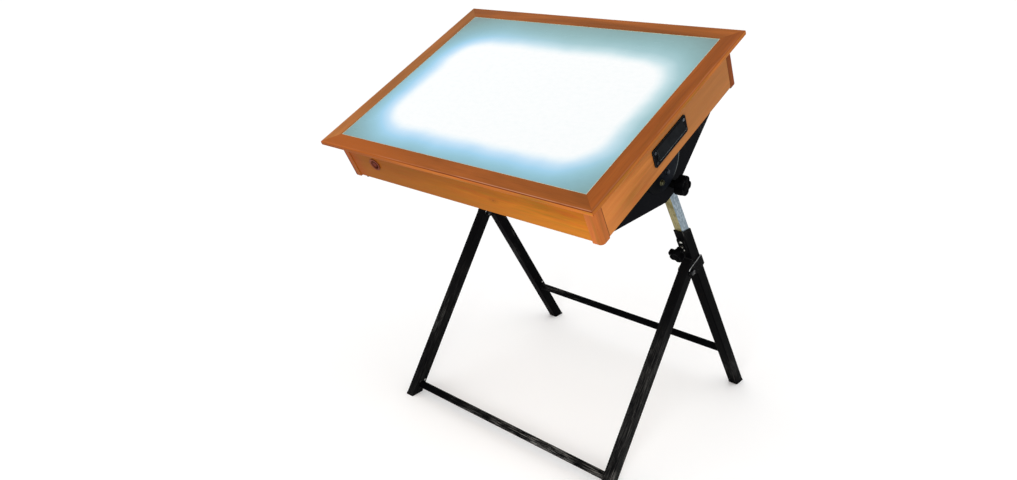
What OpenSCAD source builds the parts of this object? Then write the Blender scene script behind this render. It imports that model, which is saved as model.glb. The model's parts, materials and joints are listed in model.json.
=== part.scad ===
// Light-box drafting table on a folding tubular stand.
// Millimetres. +Z is up, the drawing edge faces -Y, +X is the user's right.
// The origin is on the floor, under the middle of the table's outline.

/* [Board] */
// Width of the wooden rim, left to right
board_w = 800; // [700:10:1000]
// Depth of the wooden rim, along its slope
board_d = 600; // [560:10:800]
// Visible width of a rim rail
rail_w = 39; // [30:1:60]
// Thickness of a rim rail
rail_t = 12; // [12:1:20]
// Overhang of the rim past the side boards
side_overhang = 25; // [15:1:35]
// Overhang of the rim past the front and rear faces of the corner posts
end_overhang = 26; // [15:1:35]
// Slope of the board above horizontal, in degrees
tilt = 26.1; // [0:0.1:60]

/* [Light box] */
// Depth of the box below the top of the rim
box_h = 114.5; // [100:0.5:150]
// Thickness of the boards
board_t = 18; // [15:1:22]
// Side of a square corner post
post_w = 25; // [22:1:35]
// How far the corner posts hang below the boards
post_drop = 4; // [0:1:12]
// How far the corner posts stand proud of the aprons
post_proud = 2; // [2:1:7]
// Thickness of the glass
glass_t = 5; // [3:0.5:6]
// Thickness of the diffuser sheet under the glass
diffuser_t = 3; // [2:0.5:4]
// Number of fluorescent tubes
lamp_count = 3; // [2:1:3]
// Length of a fluorescent tube over its caps
lamp_len = 590; // [438:1:600]
// Radius of a fluorescent tube
lamp_r = 12.8; // [7.5:0.1:13]
// Distance of the switch from the middle of the front apron
switch_x = 266; // [100:1:310]
// Distance of the cord gland from the middle of the rear apron
gland_x = 250; // [100:1:310]
// Radius of the bore in the cord gland
gland_bore_r = 3.75; // [3:0.05:4.5]

/* [Handles] */
// Length of a pull handle
handle_len = 129; // [110:1:160]
// Height of a pull handle
handle_h = 42; // [36:1:50]
// Depth of the finger pocket behind the face of the side board
recess_depth = 14; // [8:1:14]
// Offset of the handle's middle towards the drawing edge
handle_shift = 4.5; // [0:0.5:30]

/* [Stand] */
// Distance between the middles of the left and right legs
leg_spacing = 658; // [600:2:664]
// Depth of the front legs and sleeves, seen from the side
front_tube_d = 32; // [30:1:36]
// Width of the front legs and sleeves, left to right
front_tube_w = 25; // [24:1:30]
// Wall of every tube
wall = 2; // [1.5:0.1:2.5]
// Lean of the front legs from the vertical, in degrees
front_lean = 33.66; // [28:0.01:36]
// Lean of the rear legs, sleeves and height tubes from the vertical, in degrees
rear_lean = 33.03; // [28:0.01:36]
// Distance on the floor between the middles of the front and rear feet
foot_spread = 643.5; // [600:0.5:680]
// Radius of the two cross braces
brace_r = 10; // [8:0.5:12]
// Height of the front brace above the floor
front_brace_z = 24.5; // [24:0.5:60]
// Height of the rear brace above the floor
rear_brace_z = 138.5; // [60:0.5:200]

/* [Height and tilt] */
// Distance from floor to tilt pivot along the rear leg's line
pivot_s = 844; // [820:1:870]
// Depth of the tilt pivot below the top of the rim
pivot_depth = 203; // [195:1:215]
// Distance of the tilt pivot behind the middle of the board
pivot_back = 9.7; // [0:0.1:20]
// Height of the sleeves' level top ends above the floor
sleeve_top_z = 573; // [560:1:590]
// Distance from floor to the lower end of the height tubes along the rear leg's line
inner_tube_end_s = 608; // [606:1:612]
// Radius of the pivot bolts, fold bolts and knob studs
bolt_r = 4; // [4:0.5:5]
// Radial running clearance of every pin in its moving bore
run = 0.05; // [0.02:0.01:0.1]

/* [Hidden] */
$fn = 48;
eps = 0.01;
gap = 0.3;

// The box
box_w = board_w - 2 * side_overhang;
box_d = board_d - 2 * end_overhang;
apron_y = box_d / 2 - post_proud;
ledge = 8;
ledge_t = 3;
glass_play = 2;
glass_recess = 1;
glass_w = board_w - 2 * rail_w - 2 * glass_play;
glass_d = board_d - 2 * rail_w - 2 * glass_play;
panel_t = 5;
rebate = 9;
edge_r = 3;
post_round = 10;
tray_w = box_w - 60;
tray_d = 2 * (apron_y - board_t) - 20;
tray_h = 60;
sheet = 1;
floor_z = -box_h + panel_t + sheet;
lamp_z = -62;
lamp_pitch = 150;
cap_len = 11;
pin_len = 7;
mid_z = -64;
handle_z = -70;

// The pull's cover and its finger pocket, across the side board
pull_half = handle_len / 2 - 14;
pull_wall = 2;
pull_top = 18;
pull_lip = -10;
pull_out = 8;
pocket_low = -17;
pocket_high = 12;

// Lamp pins
pin_offset = 6.35;
pin_r = 1.2;

// The stand
leg_x = leg_spacing / 2;
rear_tube_w = front_tube_w + 1;
rear_tube_d = front_tube_d - 2;
foot_t = 4;
foot_lip = 0.8;
plug_len = 18;
inner_w = front_tube_w - 2 * wall - 1;
inner_d = front_tube_d - 2 * wall - 1;
inner_wall = 1.5;
tube_edge_r = 2.5;
plug_play = 0.6;
rear_leg_s = 573;
sleeve_s = 576;
tube_top = 16;

// Where the feet, the fold pivot and the tilt pivot lie, before centring
front_foot = -85.5;
rear_foot = front_foot + foot_spread;
rear_corner = rear_foot + (rear_tube_d / 2 + foot_lip) / cos(rear_lean);
tilt_y = rear_foot - pivot_s * sin(rear_lean);
tilt_z = pivot_s * cos(rear_lean);
front_edge = tilt_y - (board_d / 2 + pivot_back) * cos(tilt) - pivot_depth * sin(tilt);
mid_y = (front_edge + rear_corner) / 2;
fold_z = 458;
fold_y = front_foot + fold_z * tan(front_lean);

// The fold bracket, in the rear leg's frame
fold_off = (fold_y - rear_foot) * cos(rear_lean) + fold_z * sin(rear_lean);
fold_s = -(fold_y - rear_foot) * sin(rear_lean) + fold_z * cos(rear_lean);
fold_eye_r = 11.5;
fold_plate = 2.5;
fold_web = 3;
fold_len = 33;
corner_r = 18.5;

// The tilt bracket and its half-round stiffener, in the board's frame
plate_x = leg_x + inner_w / 2 + 2;
plate_t = 3;
plate_low = 28.5;
plate_tip = 21;
plate_end = 13;
plate_reach = box_d / 2 - 10;
flange_w = 26;
disc_r = 69;
disc_y = -8;
disc_z = -127;

// The clamp knobs
clamp_s = 642;
clamp_plate_t = 3;
tilt_knob_r = 23;
height_knob_r = 20;
knob_lobes = 5;
knob_flute_r = 8;
knob_flute_out = 4;
knob_hub_r = 9;
height_head = 14;
tilt_head = 20;
knob_edge = 1.5;
tilt_hub = 17;
height_hub = 13;
hub_gap = 8;
stud_grip = 14;
bolt_grip = 8;

// The switch
switch_flange_r = 16;
switch_barrel_r = 13;
switch_well_r = 11.5;
switch_well_d = 18;
switch_face = 2.5;
button_r = 11;
button_cap_r = 7.5;
button_in = 0.8;
button_base = 7;
button_len = 14;

// ---- Frames ----

// The board's own frame: X right, Y up the slope, Z out of the drawing surface
module on_board() {
    translate([0, tilt_y - mid_y, tilt_z])
        rotate([tilt, 0, 0])
            translate([0, -pivot_back, pivot_depth])
                children();
}

// The rear leg's line: Z runs up the leg, the sleeve and the height tube
module on_rear() {
    translate([0, rear_foot - mid_y, 0])
        rotate([rear_lean, 0, 0])
            children();
}

// The front leg's line: Z runs up the leg, Y points out of its rear face
module on_front() {
    translate([0, front_foot - mid_y, 0])
        rotate([-front_lean, 0, 0])
            children();
}

// One copy on the left (side = -1) and one on the right (side = 1)
module both_sides() {
    for (side = [-1, 1]) side_copy(side) children();
}

module side_copy(side) {
    if (side < 0) mirror([1, 0, 0]) children();
    else children();
}

// A box given by its middle in X and Y and by its lower and upper Z
module block(w, d, z0, z1) {
    translate([-w / 2, -d / 2, z0]) cube([w, d, z1 - z0]);
}

// A cylinder along X from x0 to x1
module bar_x(r, x0, x1) {
    translate([x0, 0, 0]) rotate([0, 90, 0]) cylinder(r = r, h = x1 - x0);
}

// A cylinder along Y from y0 to y1
module bar_y(r, y0, y1) {
    translate([0, y1, 0]) rotate([90, 0, 0]) cylinder(r = r, h = y1 - y0);
}

// A bar along Z whose four long edges are rounded
module round_bar(w, d, r, z0, z1) {
    translate([0, 0, z0]) linear_extrude(height = z1 - z0) {
        square([w - 2 * r, d], center = true);
        square([w, d - 2 * r], center = true);
        for (x = [-1, 1], y = [-1, 1]) translate([x * (w / 2 - r), y * (d / 2 - r)]) circle(r = r);
    }
}

// A rectangular tube with rounded edges, empty inside, along Z
module box_tube(w, d, t, z0, z1) {
    difference() {
        round_bar(w, d, tube_edge_r, z0, z1);
        round_bar(w - 2 * t, d - 2 * t, tube_edge_r - t, z0 - 1, z1 + 1);
    }
}

// Everything between two heights above the floor
module floor_slab(z0, z1) {
    translate([-1000, -1000, z0]) cube([2000, 2000, z1 - z0]);
}

// ---- Rim, glass and diffuser ----

// Section of a rail: X runs outwards and stops at 0, Y is up and stops at 0
module rail_section() {
    translate([-rail_w, -rail_t]) square([rail_w - edge_r, rail_t]);
    translate([-edge_r - eps, edge_r - rail_t]) square([edge_r + eps, rail_t - 2 * edge_r]);
    for (y = [-edge_r, edge_r - rail_t]) translate([-edge_r, y]) circle(r = edge_r);
    translate([-rail_w - ledge, -rail_t]) square([ledge + eps, ledge_t]);
}

// A rail of the given length whose outer edge faces -Y, cut to 45 degree mitres
module rail(len, out) {
    reach = rail_w + ledge;
    intersection() {
        translate([-len / 2, -out, 0])
            rotate([90, 0, 90])
                mirror([1, 0, 0])
                    linear_extrude(height = len) rail_section();
        translate([0, 0, -rail_t - 1])
            linear_extrude(height = rail_t + 2)
                polygon([[-len / 2, -out], [len / 2, -out],
                    [len / 2 - reach, reach - out], [reach - len / 2, reach - out]]);
    }
}

module rim_rail_front() { color("sienna") on_board() rail(board_w, board_d / 2); }

module rim_rail_rear() {
    color("sienna") on_board() rotate([0, 0, 180]) rail(board_w, board_d / 2);
}

module rim_rail_left() {
    color("sienna") on_board() rotate([0, 0, -90]) rail(board_d, board_w / 2);
}

module rim_rail_right() {
    color("sienna") on_board() rotate([0, 0, 90]) rail(board_d, board_w / 2);
}

module glass_top() {
    color("azure") on_board() block(glass_w, glass_d, -glass_recess - glass_t, -glass_recess);
}

module diffuser_sheet() {
    top = -glass_recess - glass_t;
    color("white") on_board() block(glass_w, glass_d, top - diffuser_t, top);
}

// A thin clear bead that fills the play between the glass and the rails
module glazing_bead() {
    color("honeydew") on_board() difference() {
        block(board_w - 2 * rail_w, board_d - 2 * rail_w, -glass_recess - glass_t, -glass_recess);
        block(glass_w, glass_d, -rail_t, 1);
    }
}

// ---- Box ----

// Rebate along the lower inner edge that takes the bottom panel
module panel_space(grow) {
    difference() {
        block(box_w - 2 * (board_t - rebate) + grow, 2 * (apron_y - board_t + rebate) + grow,
            -box_h - 1, panel_t - box_h);
        for (x = [-1, 1], y = [-1, 1])
            translate([x * (box_w - post_w) / 2, y * (box_d - post_w) / 2, 0])
                block(post_w - grow, post_w - grow, -box_h - 2, 1);
    }
}

module panel_screw_spots() {
    inset = 4.5;
    px = box_w / 2 - board_t + inset;
    py = apron_y - board_t + inset;
    for (x = [-250, 0, 250], y = [-1, 1]) translate([x, y * py, -box_h]) children();
    for (x = [-1, 1]) translate([x * px, 0, -box_h]) children();
}

// A countersunk wood screw whose head is flush at Z = 0 and whose point is up
module wood_screw(len) {
    cylinder(r1 = 3.4, r2 = 1.7, h = 2);
    translate([0, 0, 2 - eps]) cylinder(r = 1.7, h = len - 2);
}

module apron() {
    difference() {
        translate([0, board_t / 2 - apron_y, 0])
            block(box_w - 2 * post_w, board_t, -box_h, -rail_t);
        panel_space(0);
        panel_screw_spots() wood_screw(16);
        children();
    }
}

module apron_front() {
    color("chocolate") on_board() apron()
        translate([-switch_x, 0, mid_z]) bar_y(switch_barrel_r, -apron_y - 1, -apron_y + board_t + 1);
}

module apron_rear() {
    color("chocolate") on_board() mirror([0, 1, 0]) apron()
        translate([gland_x, 0, mid_z]) bar_y(8, -apron_y - 1, -apron_y + board_t + 1);
}

// Outline of the handle's cup, and of the pocket in the board that takes it
module cup_outline() {
    len = 2 * (pull_half - pull_wall);
    translate([-len / 2, pocket_low - pull_wall])
        square([len, pocket_high - pocket_low + 2 * pull_wall]);
}

// The plane of the right side board: X runs up the slope, Y up the board, Z outwards
module on_side() {
    translate([box_w / 2, -handle_shift, handle_z]) rotate([90, 0, 90]) children();
}

module handle_screw_spots() {
    for (x = [-1, 1], y = [-1, 1])
        translate([x * (handle_len / 2 - 8), y * (handle_h / 2 - 9), 0]) children();
}

module pan_screw(len) {
    intersection() {
        translate([0, 0, -2.6]) sphere(r = 4.2);
        cylinder(r = 3.4, h = 3);
    }
    translate([0, 0, -len]) cylinder(r = 1.5, h = len + eps);
}

module side_board(side) {
    color("peru") on_board() side_copy(side) difference() {
        translate([(box_w - board_t) / 2, 0, 0])
            block(board_t, box_d - 2 * post_w, -box_h, -rail_t);
        panel_space(0);
        panel_screw_spots() wood_screw(16);
        on_side() translate([0, 0, -recess_depth - pull_wall])
            linear_extrude(height = recess_depth + pull_wall + 1) cup_outline();
        on_side() handle_screw_spots() translate([0, 0, -12]) cylinder(r = 1.5, h = 13);
    }
}

module side_board_left() { side_board(-1); }

module side_board_right() { side_board(1); }

// A square post with its outer corner rounded, for the +X +Y corner
module corner_post(x, y) {
    r = post_round;
    color("peru") on_board() scale_corner(x, y)
        translate([box_w / 2 - post_w, box_d / 2 - post_w, -box_h - post_drop])
            linear_extrude(height = box_h + post_drop - rail_t) {
                square([post_w - r, post_w]);
                square([post_w, post_w - r]);
                translate([post_w - r, post_w - r]) circle(r = r);
            }
}

module scale_corner(x, y) {
    mirror([x < 0 ? 1 : 0, 0, 0]) mirror([0, y < 0 ? 1 : 0, 0]) children();
}

module corner_post_front_left() { corner_post(-1, -1); }

module corner_post_front_right() { corner_post(1, -1); }

module corner_post_rear_left() { corner_post(-1, 1); }

module corner_post_rear_right() { corner_post(1, 1); }

module bottom_panel() {
    color("burlywood") on_board() difference() {
        intersection() {
            panel_space(-0.4);
            block(box_w, box_d, -box_h, 0);
        }
        panel_screw_spots() wood_screw(16);
        flange_screw_spots() translate([0, 0, -1]) cylinder(r = 2.5, h = 20);
    }
}

module panel_screws() {
    color("silver") on_board() panel_screw_spots() wood_screw(16);
}

// ---- Lamps and wiring ----

module lamp_spots() {
    for (i = [0 : lamp_count - 1])
        translate([0, (i - (lamp_count - 1) / 2) * lamp_pitch, lamp_z]) children();
}

module reflector_tray() {
    color("whitesmoke") on_board() difference() {
        block(tray_w, tray_d, panel_t - box_h, panel_t - box_h + tray_h);
        block(tray_w - 2 * sheet, tray_d - 2 * sheet, floor_z, 0);
    }
}

module lamp_tubes() {
    reach = lamp_len / 2 - cap_len;
    color("ivory") on_board() lamp_spots() bar_x(lamp_r, -reach, reach);
}

// Metal end caps, each with its two contact pins
module lamp_caps() {
    color("silver") on_board() lamp_spots() both_sides() {
        bar_x(lamp_r + 0.2, lamp_len / 2 - cap_len, lamp_len / 2);
        for (y = [-pin_offset, pin_offset]) translate([0, y, 0])
            bar_x(pin_r, lamp_len / 2 - eps, lamp_len / 2 + pin_len);
    }
}

module lampholders() {
    holder = 20;
    color("white") on_board() lamp_spots() both_sides() difference() {
        translate([(lamp_len + holder) / 2, 0, 0]) block(holder, 30, floor_z - lamp_z, 16);
        for (y = [-pin_offset, pin_offset]) translate([0, y, 0])
            bar_x(pin_r, lamp_len / 2 - 1, lamp_len / 2 + pin_len);
    }
}

// Ballasts: a steel case with a pair of fixing ears
module ballasts() {
    color("gainsboro") on_board() for (y = [-1, 1]) translate([0, y * lamp_pitch / 2, 0]) {
        block(150, 42, floor_z, floor_z + 30);
        block(176, 24, floor_z, floor_z + 1.5);
    }
}

module starters() {
    color("lightgray") on_board() for (x = [-220, -180, 180]) translate([x, lamp_pitch / 2, floor_z]) {
        block(26, 30, 0, 10);
        translate([0, 0, 10 - eps]) cylinder(r = 10.5, h = 34);
    }
}

// Two-core lead that runs round the inside of the box from the switch to a terminal block
// beside the gland
module wiring_loom() {
    r = 2;
    in_y = apron_y - board_t - 5;
    in_x = (box_w / 2 - post_w + tray_w / 2) / 2;
    block_x = gland_x - 46;
    block_t = 9;
    block_h = 16;
    poles = 3;
    pitch = 8;
    color("dimgray") on_board() translate([0, 0, mid_z]) {
        translate([block_x, apron_y - board_t, 0]) difference() {
            translate([0, -block_t, -block_h / 2]) cube([poles * pitch, block_t, block_h]);
            for (i = [0 : poles - 1]) translate([(i + 0.5) * pitch, 0, 0])
                bar_y(2, -block_t - 1, -block_t + 3);
        }
        translate([0, in_y, 0]) bar_x(r, -in_x, block_x + 1);
        translate([-in_x, 0, 0]) bar_y(r, -in_y, in_y);
        translate([0, -in_y, 0]) bar_x(r, -in_x, -switch_x - switch_barrel_r - 1);
        for (y = [-in_y, in_y]) translate([-in_x, y, 0]) sphere(r = r);
    }
}

// Round push switch: flange, threaded barrel and a well that the button slides in
module switch_body() {
    back = 26;
    color("saddlebrown") on_board() translate([-switch_x, -apron_y, mid_z]) difference() {
        union() {
            bar_y(switch_flange_r, -switch_face, 0);
            bar_y(switch_barrel_r, -eps, back);
        }
        bar_y(switch_well_r, -switch_face - 1, switch_well_d);
    }
}

// A cap just below the flange's face, on a wider base that the well guides
module switch_button() {
    rim = 1.5;
    color("maroon") on_board() translate([-switch_x, -apron_y - switch_face, mid_z]) {
        bar_y(button_r, button_base, button_len);
        bar_y(button_cap_r, button_in + rim - eps, button_base + eps);
        translate([0, button_in + rim, 0]) rotate([90, 0, 0])
            cylinder(r1 = button_cap_r, r2 = button_cap_r - rim, h = rim);
    }
}

// Cord gland: domed nose, hexagonal flange, barrel through the apron and a nut inside
module cord_gland() {
    hex = 13.5;
    nose = 12;
    flange = 6;
    nut = 5;
    inner = -board_t;
    color("dimgray") on_board() translate([gland_x, apron_y, mid_z]) {
        difference() {
            union() {
                translate([0, flange, 0]) rotate([90, 0, 0]) cylinder(r = hex, h = flange, $fn = 6);
                bar_y(9, flange - eps, flange + nose);
                bar_y(8, inner - nut - 2, eps);
            }
            bar_y(gland_bore_r, inner - 20, flange + nose + 1);
        }
        difference() {
            translate([0, inner, 0]) rotate([90, 0, 0]) cylinder(r = hex, h = nut, $fn = 6);
            bar_y(8, inner - nut - 1, inner + 1);
        }
    }
}

// ---- Handles ----

// Bin pull: a flange, a sloping cover that ends in a lip, and a pocket for the fingers below it
module handle(side) {
    plate = 3;
    ch = 3;
    l = handle_len / 2;
    h = handle_h / 2;
    color("darkslategray") on_board() side_copy(side) on_side() difference() {
        union() {
            linear_extrude(height = plate)
                polygon([[ch - l, -h], [l - ch, -h], [l, ch - h], [l, h - ch], [l - ch, h],
                    [ch - l, h], [-l, h - ch], [-l, ch - h]]);
            pull_bar(pull_half)
                polygon([[pull_lip, eps], [pull_top, eps], [pull_top, plate],
                    [pull_lip + 3, pull_out], [pull_lip, pull_out - 1]]);
            translate([0, 0, -recess_depth - pull_wall])
                linear_extrude(height = recess_depth + pull_wall + eps) cup_outline();
        }
        pull_bar(pull_half - 2 * pull_wall)
            polygon([[pocket_low, -recess_depth], [pocket_high, -recess_depth],
                [pocket_high, plate - pull_wall], [pull_lip, pull_out - 1 - pull_wall],
                [pull_lip, pull_out + 1], [pocket_low, pull_out + 1]]);
        handle_screw_spots() translate([0, 0, -1]) cylinder(r = 1.5, h = plate + 2);
    }
}

// A bar along the handle whose section is drawn with X up the board and Y outwards
module pull_bar(half) {
    translate([-half, 0, 0]) rotate([90, 0, 90]) linear_extrude(height = 2 * half) children();
}

module handle_left() { handle(-1); }

module handle_right() { handle(1); }

module handle_screws() {
    color("silver") on_board() both_sides() on_side() handle_screw_spots()
        translate([0, 0, 3]) pan_screw(14.5);
}

// ---- Tilt brackets ----

module flange_screw_spots() {
    for (x = [-1, 1], y = [-210, -100, 100, 210])
        translate([x * (plate_x - flange_w / 2), y, -box_h - plate_t]) children();
}

// The pivot's line, in the board's frame
module on_pivot() {
    translate([0, pivot_back, -pivot_depth]) children();
}

// Steel plate that hangs from the box: a wide top, sloping ends and a narrow foot
module tilt_bracket(side) {
    color([0.08, 0.08, 0.09]) on_board() side_copy(side) difference() {
        union() {
            translate([plate_x, 0, 0]) rotate([90, 0, 90]) linear_extrude(height = plate_t)
                polygon([[-plate_reach, -box_h], [-plate_reach, -box_h - plate_end],
                    [-plate_tip, -pivot_depth - plate_low], [plate_tip, -pivot_depth - plate_low],
                    [plate_reach, -box_h - plate_end], [plate_reach, -box_h]]);
            translate([plate_x - flange_w, -plate_reach, -box_h - plate_t])
                cube([flange_w + eps, 2 * plate_reach, plate_t]);
        }
        on_pivot() bar_x(bolt_r + run, plate_x - 1, plate_x + plate_t + 1);
        stiffener_bolt_spots() bar_x(3, plate_x - 1, plate_x + plate_t + 1);
        flange_screw_spots() translate([0, 0, -1]) cylinder(r = 2.5, h = plate_t + 2);
    }
}

module tilt_bracket_left() { tilt_bracket(-1); }

module tilt_bracket_right() { tilt_bracket(1); }

module stiffener_bolt_spots() {
    for (p = [[-25, -171], [0, -162]]) translate([0, p[0], p[1]]) children();
}

// Half-round stiffener on the outer face of the bracket
module quadrant(side) {
    color([0.1, 0.11, 0.13]) on_board() side_copy(side) difference() {
        translate([plate_x + plate_t, 0, 0]) rotate([90, 0, 90]) linear_extrude(height = plate_t)
            intersection() {
                union() {
                    translate([disc_y, disc_z]) circle(r = disc_r, $fn = 96);
                    translate([disc_y - disc_r, disc_z]) square([2 * disc_r, disc_r]);
                }
                translate([-200, -box_h - 200]) square([400, 200]);
            }
        stiffener_bolt_spots() bar_x(3, plate_x, plate_x + 2 * plate_t + 1);
    }
}

module quadrant_left() { quadrant(-1); }

module quadrant_right() { quadrant(1); }

// Flange screws, and the bolts, washers and nuts that hold the stiffeners
module bracket_fasteners() {
    x0 = plate_x;
    x1 = plate_x + 2 * plate_t;
    color("silver") on_board() {
        flange_screw_spots() {
            translate([0, 0, -2.5]) cylinder(r = 4.5, h = 2.5);
            translate([0, 0, -eps]) cylinder(r = 2.5, h = plate_t + panel_t - 0.5);
        }
        both_sides() stiffener_bolt_spots() {
            bar_x(3, x0 - 3, x1 + 1.5);
            bar_x(7, x1, x1 + 1.5);
            translate([x1 + 1.5 - eps, 0, 0]) rotate([0, 90, 0]) cylinder(r = 5.5, h = 3.5, $fn = 6);
            translate([x0 - 4, 0, 0]) rotate([0, 90, 0]) cylinder(r = 5.5, h = 4, $fn = 6);
        }
    }
}

// ---- Height tubes ----

module on_tilt_pivot() {
    translate([0, tilt_y - mid_y, tilt_z]) rotate([rear_lean, 0, 0]) children();
}

module inner_tube(side) {
    color("lightgray") side_copy(side) difference() {
        on_rear() translate([leg_x, 0, 0])
            box_tube(inner_w, inner_d, inner_wall, inner_tube_end_s, pivot_s + tube_top);
        on_tilt_pivot() bar_x(bolt_r, leg_x - 20, leg_x + 20);
    }
}

module inner_tube_left() { inner_tube(-1); }

module inner_tube_right() { inner_tube(1); }

module inner_tube_caps() {
    inner = 2 * inner_wall + plug_play;
    top = pivot_s + tube_top;
    color([0.1, 0.1, 0.1]) both_sides() on_rear() translate([leg_x, 0, 0]) {
        round_bar(inner_w, inner_d, tube_edge_r, top, top + 2.5);
        block(inner_w - inner, inner_d - inner, top - 8, top + eps);
    }
}

// Round-headed bolts, head inboard, that carry the tilt plates and the tilt knobs
module pivot_bolts() {
    in_x = leg_x - inner_w / 2;
    end_x = plate_x + plate_t + tilt_hub + bolt_grip;
    color("silver") both_sides() on_tilt_pivot() {
        bar_x(bolt_r, in_x - eps, end_x);
        bar_x(8, in_x - 3, in_x);
    }
}

module friction_washers() {
    out_x = leg_x + inner_w / 2;
    color("gray") both_sides() on_tilt_pivot() difference() {
        bar_x(14, out_x, plate_x - gap);
        bar_x(bolt_r, out_x - 1, plate_x + 1);
    }
}

// ---- Clamp knobs ----

// Star knob along +Z: hub from Z = 0, then the fluted head
module star_knob(hub, head, r) {
    cylinder(r = knob_hub_r, h = hub + eps);
    difference() {
        translate([0, 0, hub]) {
            cylinder(r = r, h = head - knob_edge);
            translate([0, 0, head - knob_edge - eps])
                cylinder(r1 = r, r2 = r - knob_edge, h = knob_edge);
        }
        for (i = [0 : knob_lobes - 1]) rotate([0, 0, (i + 0.5) * 360 / knob_lobes])
            translate([r + knob_flute_out, 0, hub - 1])
                cylinder(r = knob_flute_r, h = head + 2);
    }
}

// The tilt knob turns on the end of the pivot bolt
module tilt_knob(side) {
    start = plate_x + plate_t + gap;
    color([0.05, 0.05, 0.05]) side_copy(side) difference() {
        on_tilt_pivot() translate([start, 0, 0]) rotate([0, 90, 0])
            star_knob(tilt_hub, tilt_head, tilt_knob_r);
        on_tilt_pivot() bar_x(bolt_r + run, start - 1, start + tilt_hub + bolt_grip + 2);
    }
}

module tilt_knob_left() { tilt_knob(-1); }

module tilt_knob_right() { tilt_knob(1); }

// The clamp's line: Z points out of the front face of the sleeve
module on_clamp() {
    on_rear() translate([leg_x, -front_tube_d / 2, clamp_s]) rotate([90, 0, 0]) children();
}

module height_knob(side) {
    start = clamp_plate_t + hub_gap;
    color([0.05, 0.05, 0.05]) side_copy(side) on_clamp() difference() {
        translate([0, 0, start]) star_knob(height_hub, height_head, height_knob_r);
        translate([0, 0, start - 1]) cylinder(r = bolt_r, h = stud_grip + 1);
    }
}

module height_knob_left() { height_knob(-1); }

module height_knob_right() { height_knob(1); }

// Threaded stud that passes the clamp plate and presses on the height tube
module height_stud(side) {
    tip = (front_tube_d - inner_d) / 2 - gap;
    color("silver") side_copy(side) on_clamp()
        translate([0, 0, -tip]) cylinder(r = bolt_r, h = tip + clamp_plate_t + hub_gap + stud_grip);
}

module height_stud_left() { height_stud(-1); }

module height_stud_right() { height_stud(1); }

module rivet_spots() {
    for (z = [-14, 14]) translate([0, z, clamp_plate_t]) children();
}

module clamp_plates() {
    color([0.1, 0.1, 0.1]) both_sides() on_clamp() difference() {
        block(21, 42, 0, clamp_plate_t);
        translate([0, 0, -1]) cylinder(r = bolt_r + run, h = clamp_plate_t + 2);
        rivet_spots() translate([0, 0, -clamp_plate_t - 1]) cylinder(r = 2, h = clamp_plate_t + 2);
    }
}

module clamp_rivets() {
    color("silver") both_sides() on_clamp() rivet_spots() {
        intersection() {
            translate([0, 0, -2.5]) sphere(r = 4.5);
            cylinder(r = 3.7, h = 3);
        }
        translate([0, 0, -clamp_plate_t - wall]) cylinder(r = 2, h = clamp_plate_t + wall + eps);
    }
}

// ---- Stand ----

// The space that the rear leg's corner sweeps past the top of the front leg
module fold_corner() {
    on_rear() translate([leg_x, fold_off, fold_s]) rotate([90, 0, 90])
        translate([0, 0, -20]) linear_extrude(height = 40) difference() {
            translate([0, -30]) square([30, 30]);
            circle(r = corner_r);
        }
}

module on_fold() {
    translate([0, fold_y - mid_y, fold_z]) children();
}

module front_leg(side) {
    color([0.07, 0.07, 0.07]) side_copy(side) difference() {
        on_front() translate([leg_x, 0, 0]) box_tube(front_tube_w, front_tube_d, wall, -40, 640);
        on_rear() translate([leg_x - 50, -front_tube_d / 2, 400]) cube([100, 200, 400]);
        floor_slab(-100, foot_t);
        fold_corner();
        on_fold() bar_x(bolt_r, leg_x - 20, leg_x + 20);
    }
}

module front_leg_left() { front_leg(-1); }

module front_leg_right() { front_leg(1); }

// Outer tube: in line with the rear leg, welded to the front leg, cut level on top
module sleeve(side) {
    color([0.07, 0.07, 0.07]) side_copy(side) difference() {
        on_rear() translate([leg_x, 0, 0]) box_tube(front_tube_w, front_tube_d, wall, sleeve_s, 740);
        floor_slab(sleeve_top_z, sleeve_top_z + 200);
        on_clamp() translate([0, 0, -wall - 1]) cylinder(r = bolt_r + 1, h = wall + 2);
        on_clamp() rivet_spots() translate([0, 0, -clamp_plate_t - wall - 1]) cylinder(r = 2, h = 8);
    }
}

module sleeve_left() { sleeve(-1); }

module sleeve_right() { sleeve(1); }

module front_brace() {
    reach = leg_x - front_tube_w / 2;
    color([0.07, 0.07, 0.07]) translate([0, front_foot - mid_y + front_brace_z * tan(front_lean),
        front_brace_z]) difference() {
            bar_x(brace_r, -reach, reach);
            bar_x(brace_r - 1.5, -reach - 1, reach + 1);
        }
}

// Foot: a pad with the leg's section, and a plug that fills the end of the leg
module foot(w, d) {
    inner = 2 * wall + plug_play;
    intersection() {
        round_bar(w + 2 * foot_lip, d + 2 * foot_lip, tube_edge_r + foot_lip, -60, 60);
        children(0);
    }
    intersection() {
        block(w - inner, d - inner, -60, 60);
        children(1);
    }
}

module front_feet() {
    color([0.05, 0.05, 0.05]) both_sides() on_front() translate([leg_x, 0, 0])
        foot(front_tube_w, front_tube_d) {
            rotate([front_lean, 0, 0]) floor_slab(0, foot_t);
            rotate([front_lean, 0, 0]) floor_slab(foot_t - eps, plug_len);
        }
}

// Fold bolt, its nut and the bush between the walls of the front leg
module fold_bolts() {
    out_x = leg_x + rear_tube_w / 2 + fold_plate + gap;
    in_x = leg_x - rear_tube_w / 2 - fold_plate - gap;
    core = front_tube_w / 2 - wall;
    inner_nut = 3.2;
    color("silver") both_sides() on_fold() {
        bar_x(bolt_r, in_x - inner_nut, out_x + eps);
        translate([out_x, 0, 0]) rotate([0, 90, 0]) cylinder(r = 7.5, h = 5, $fn = 6);
        translate([in_x - inner_nut, 0, 0]) rotate([0, 90, 0]) cylinder(r = 6.5, h = inner_nut, $fn = 6);
        bar_x(bolt_r + 2, leg_x - core, leg_x + core);
    }
}

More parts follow.
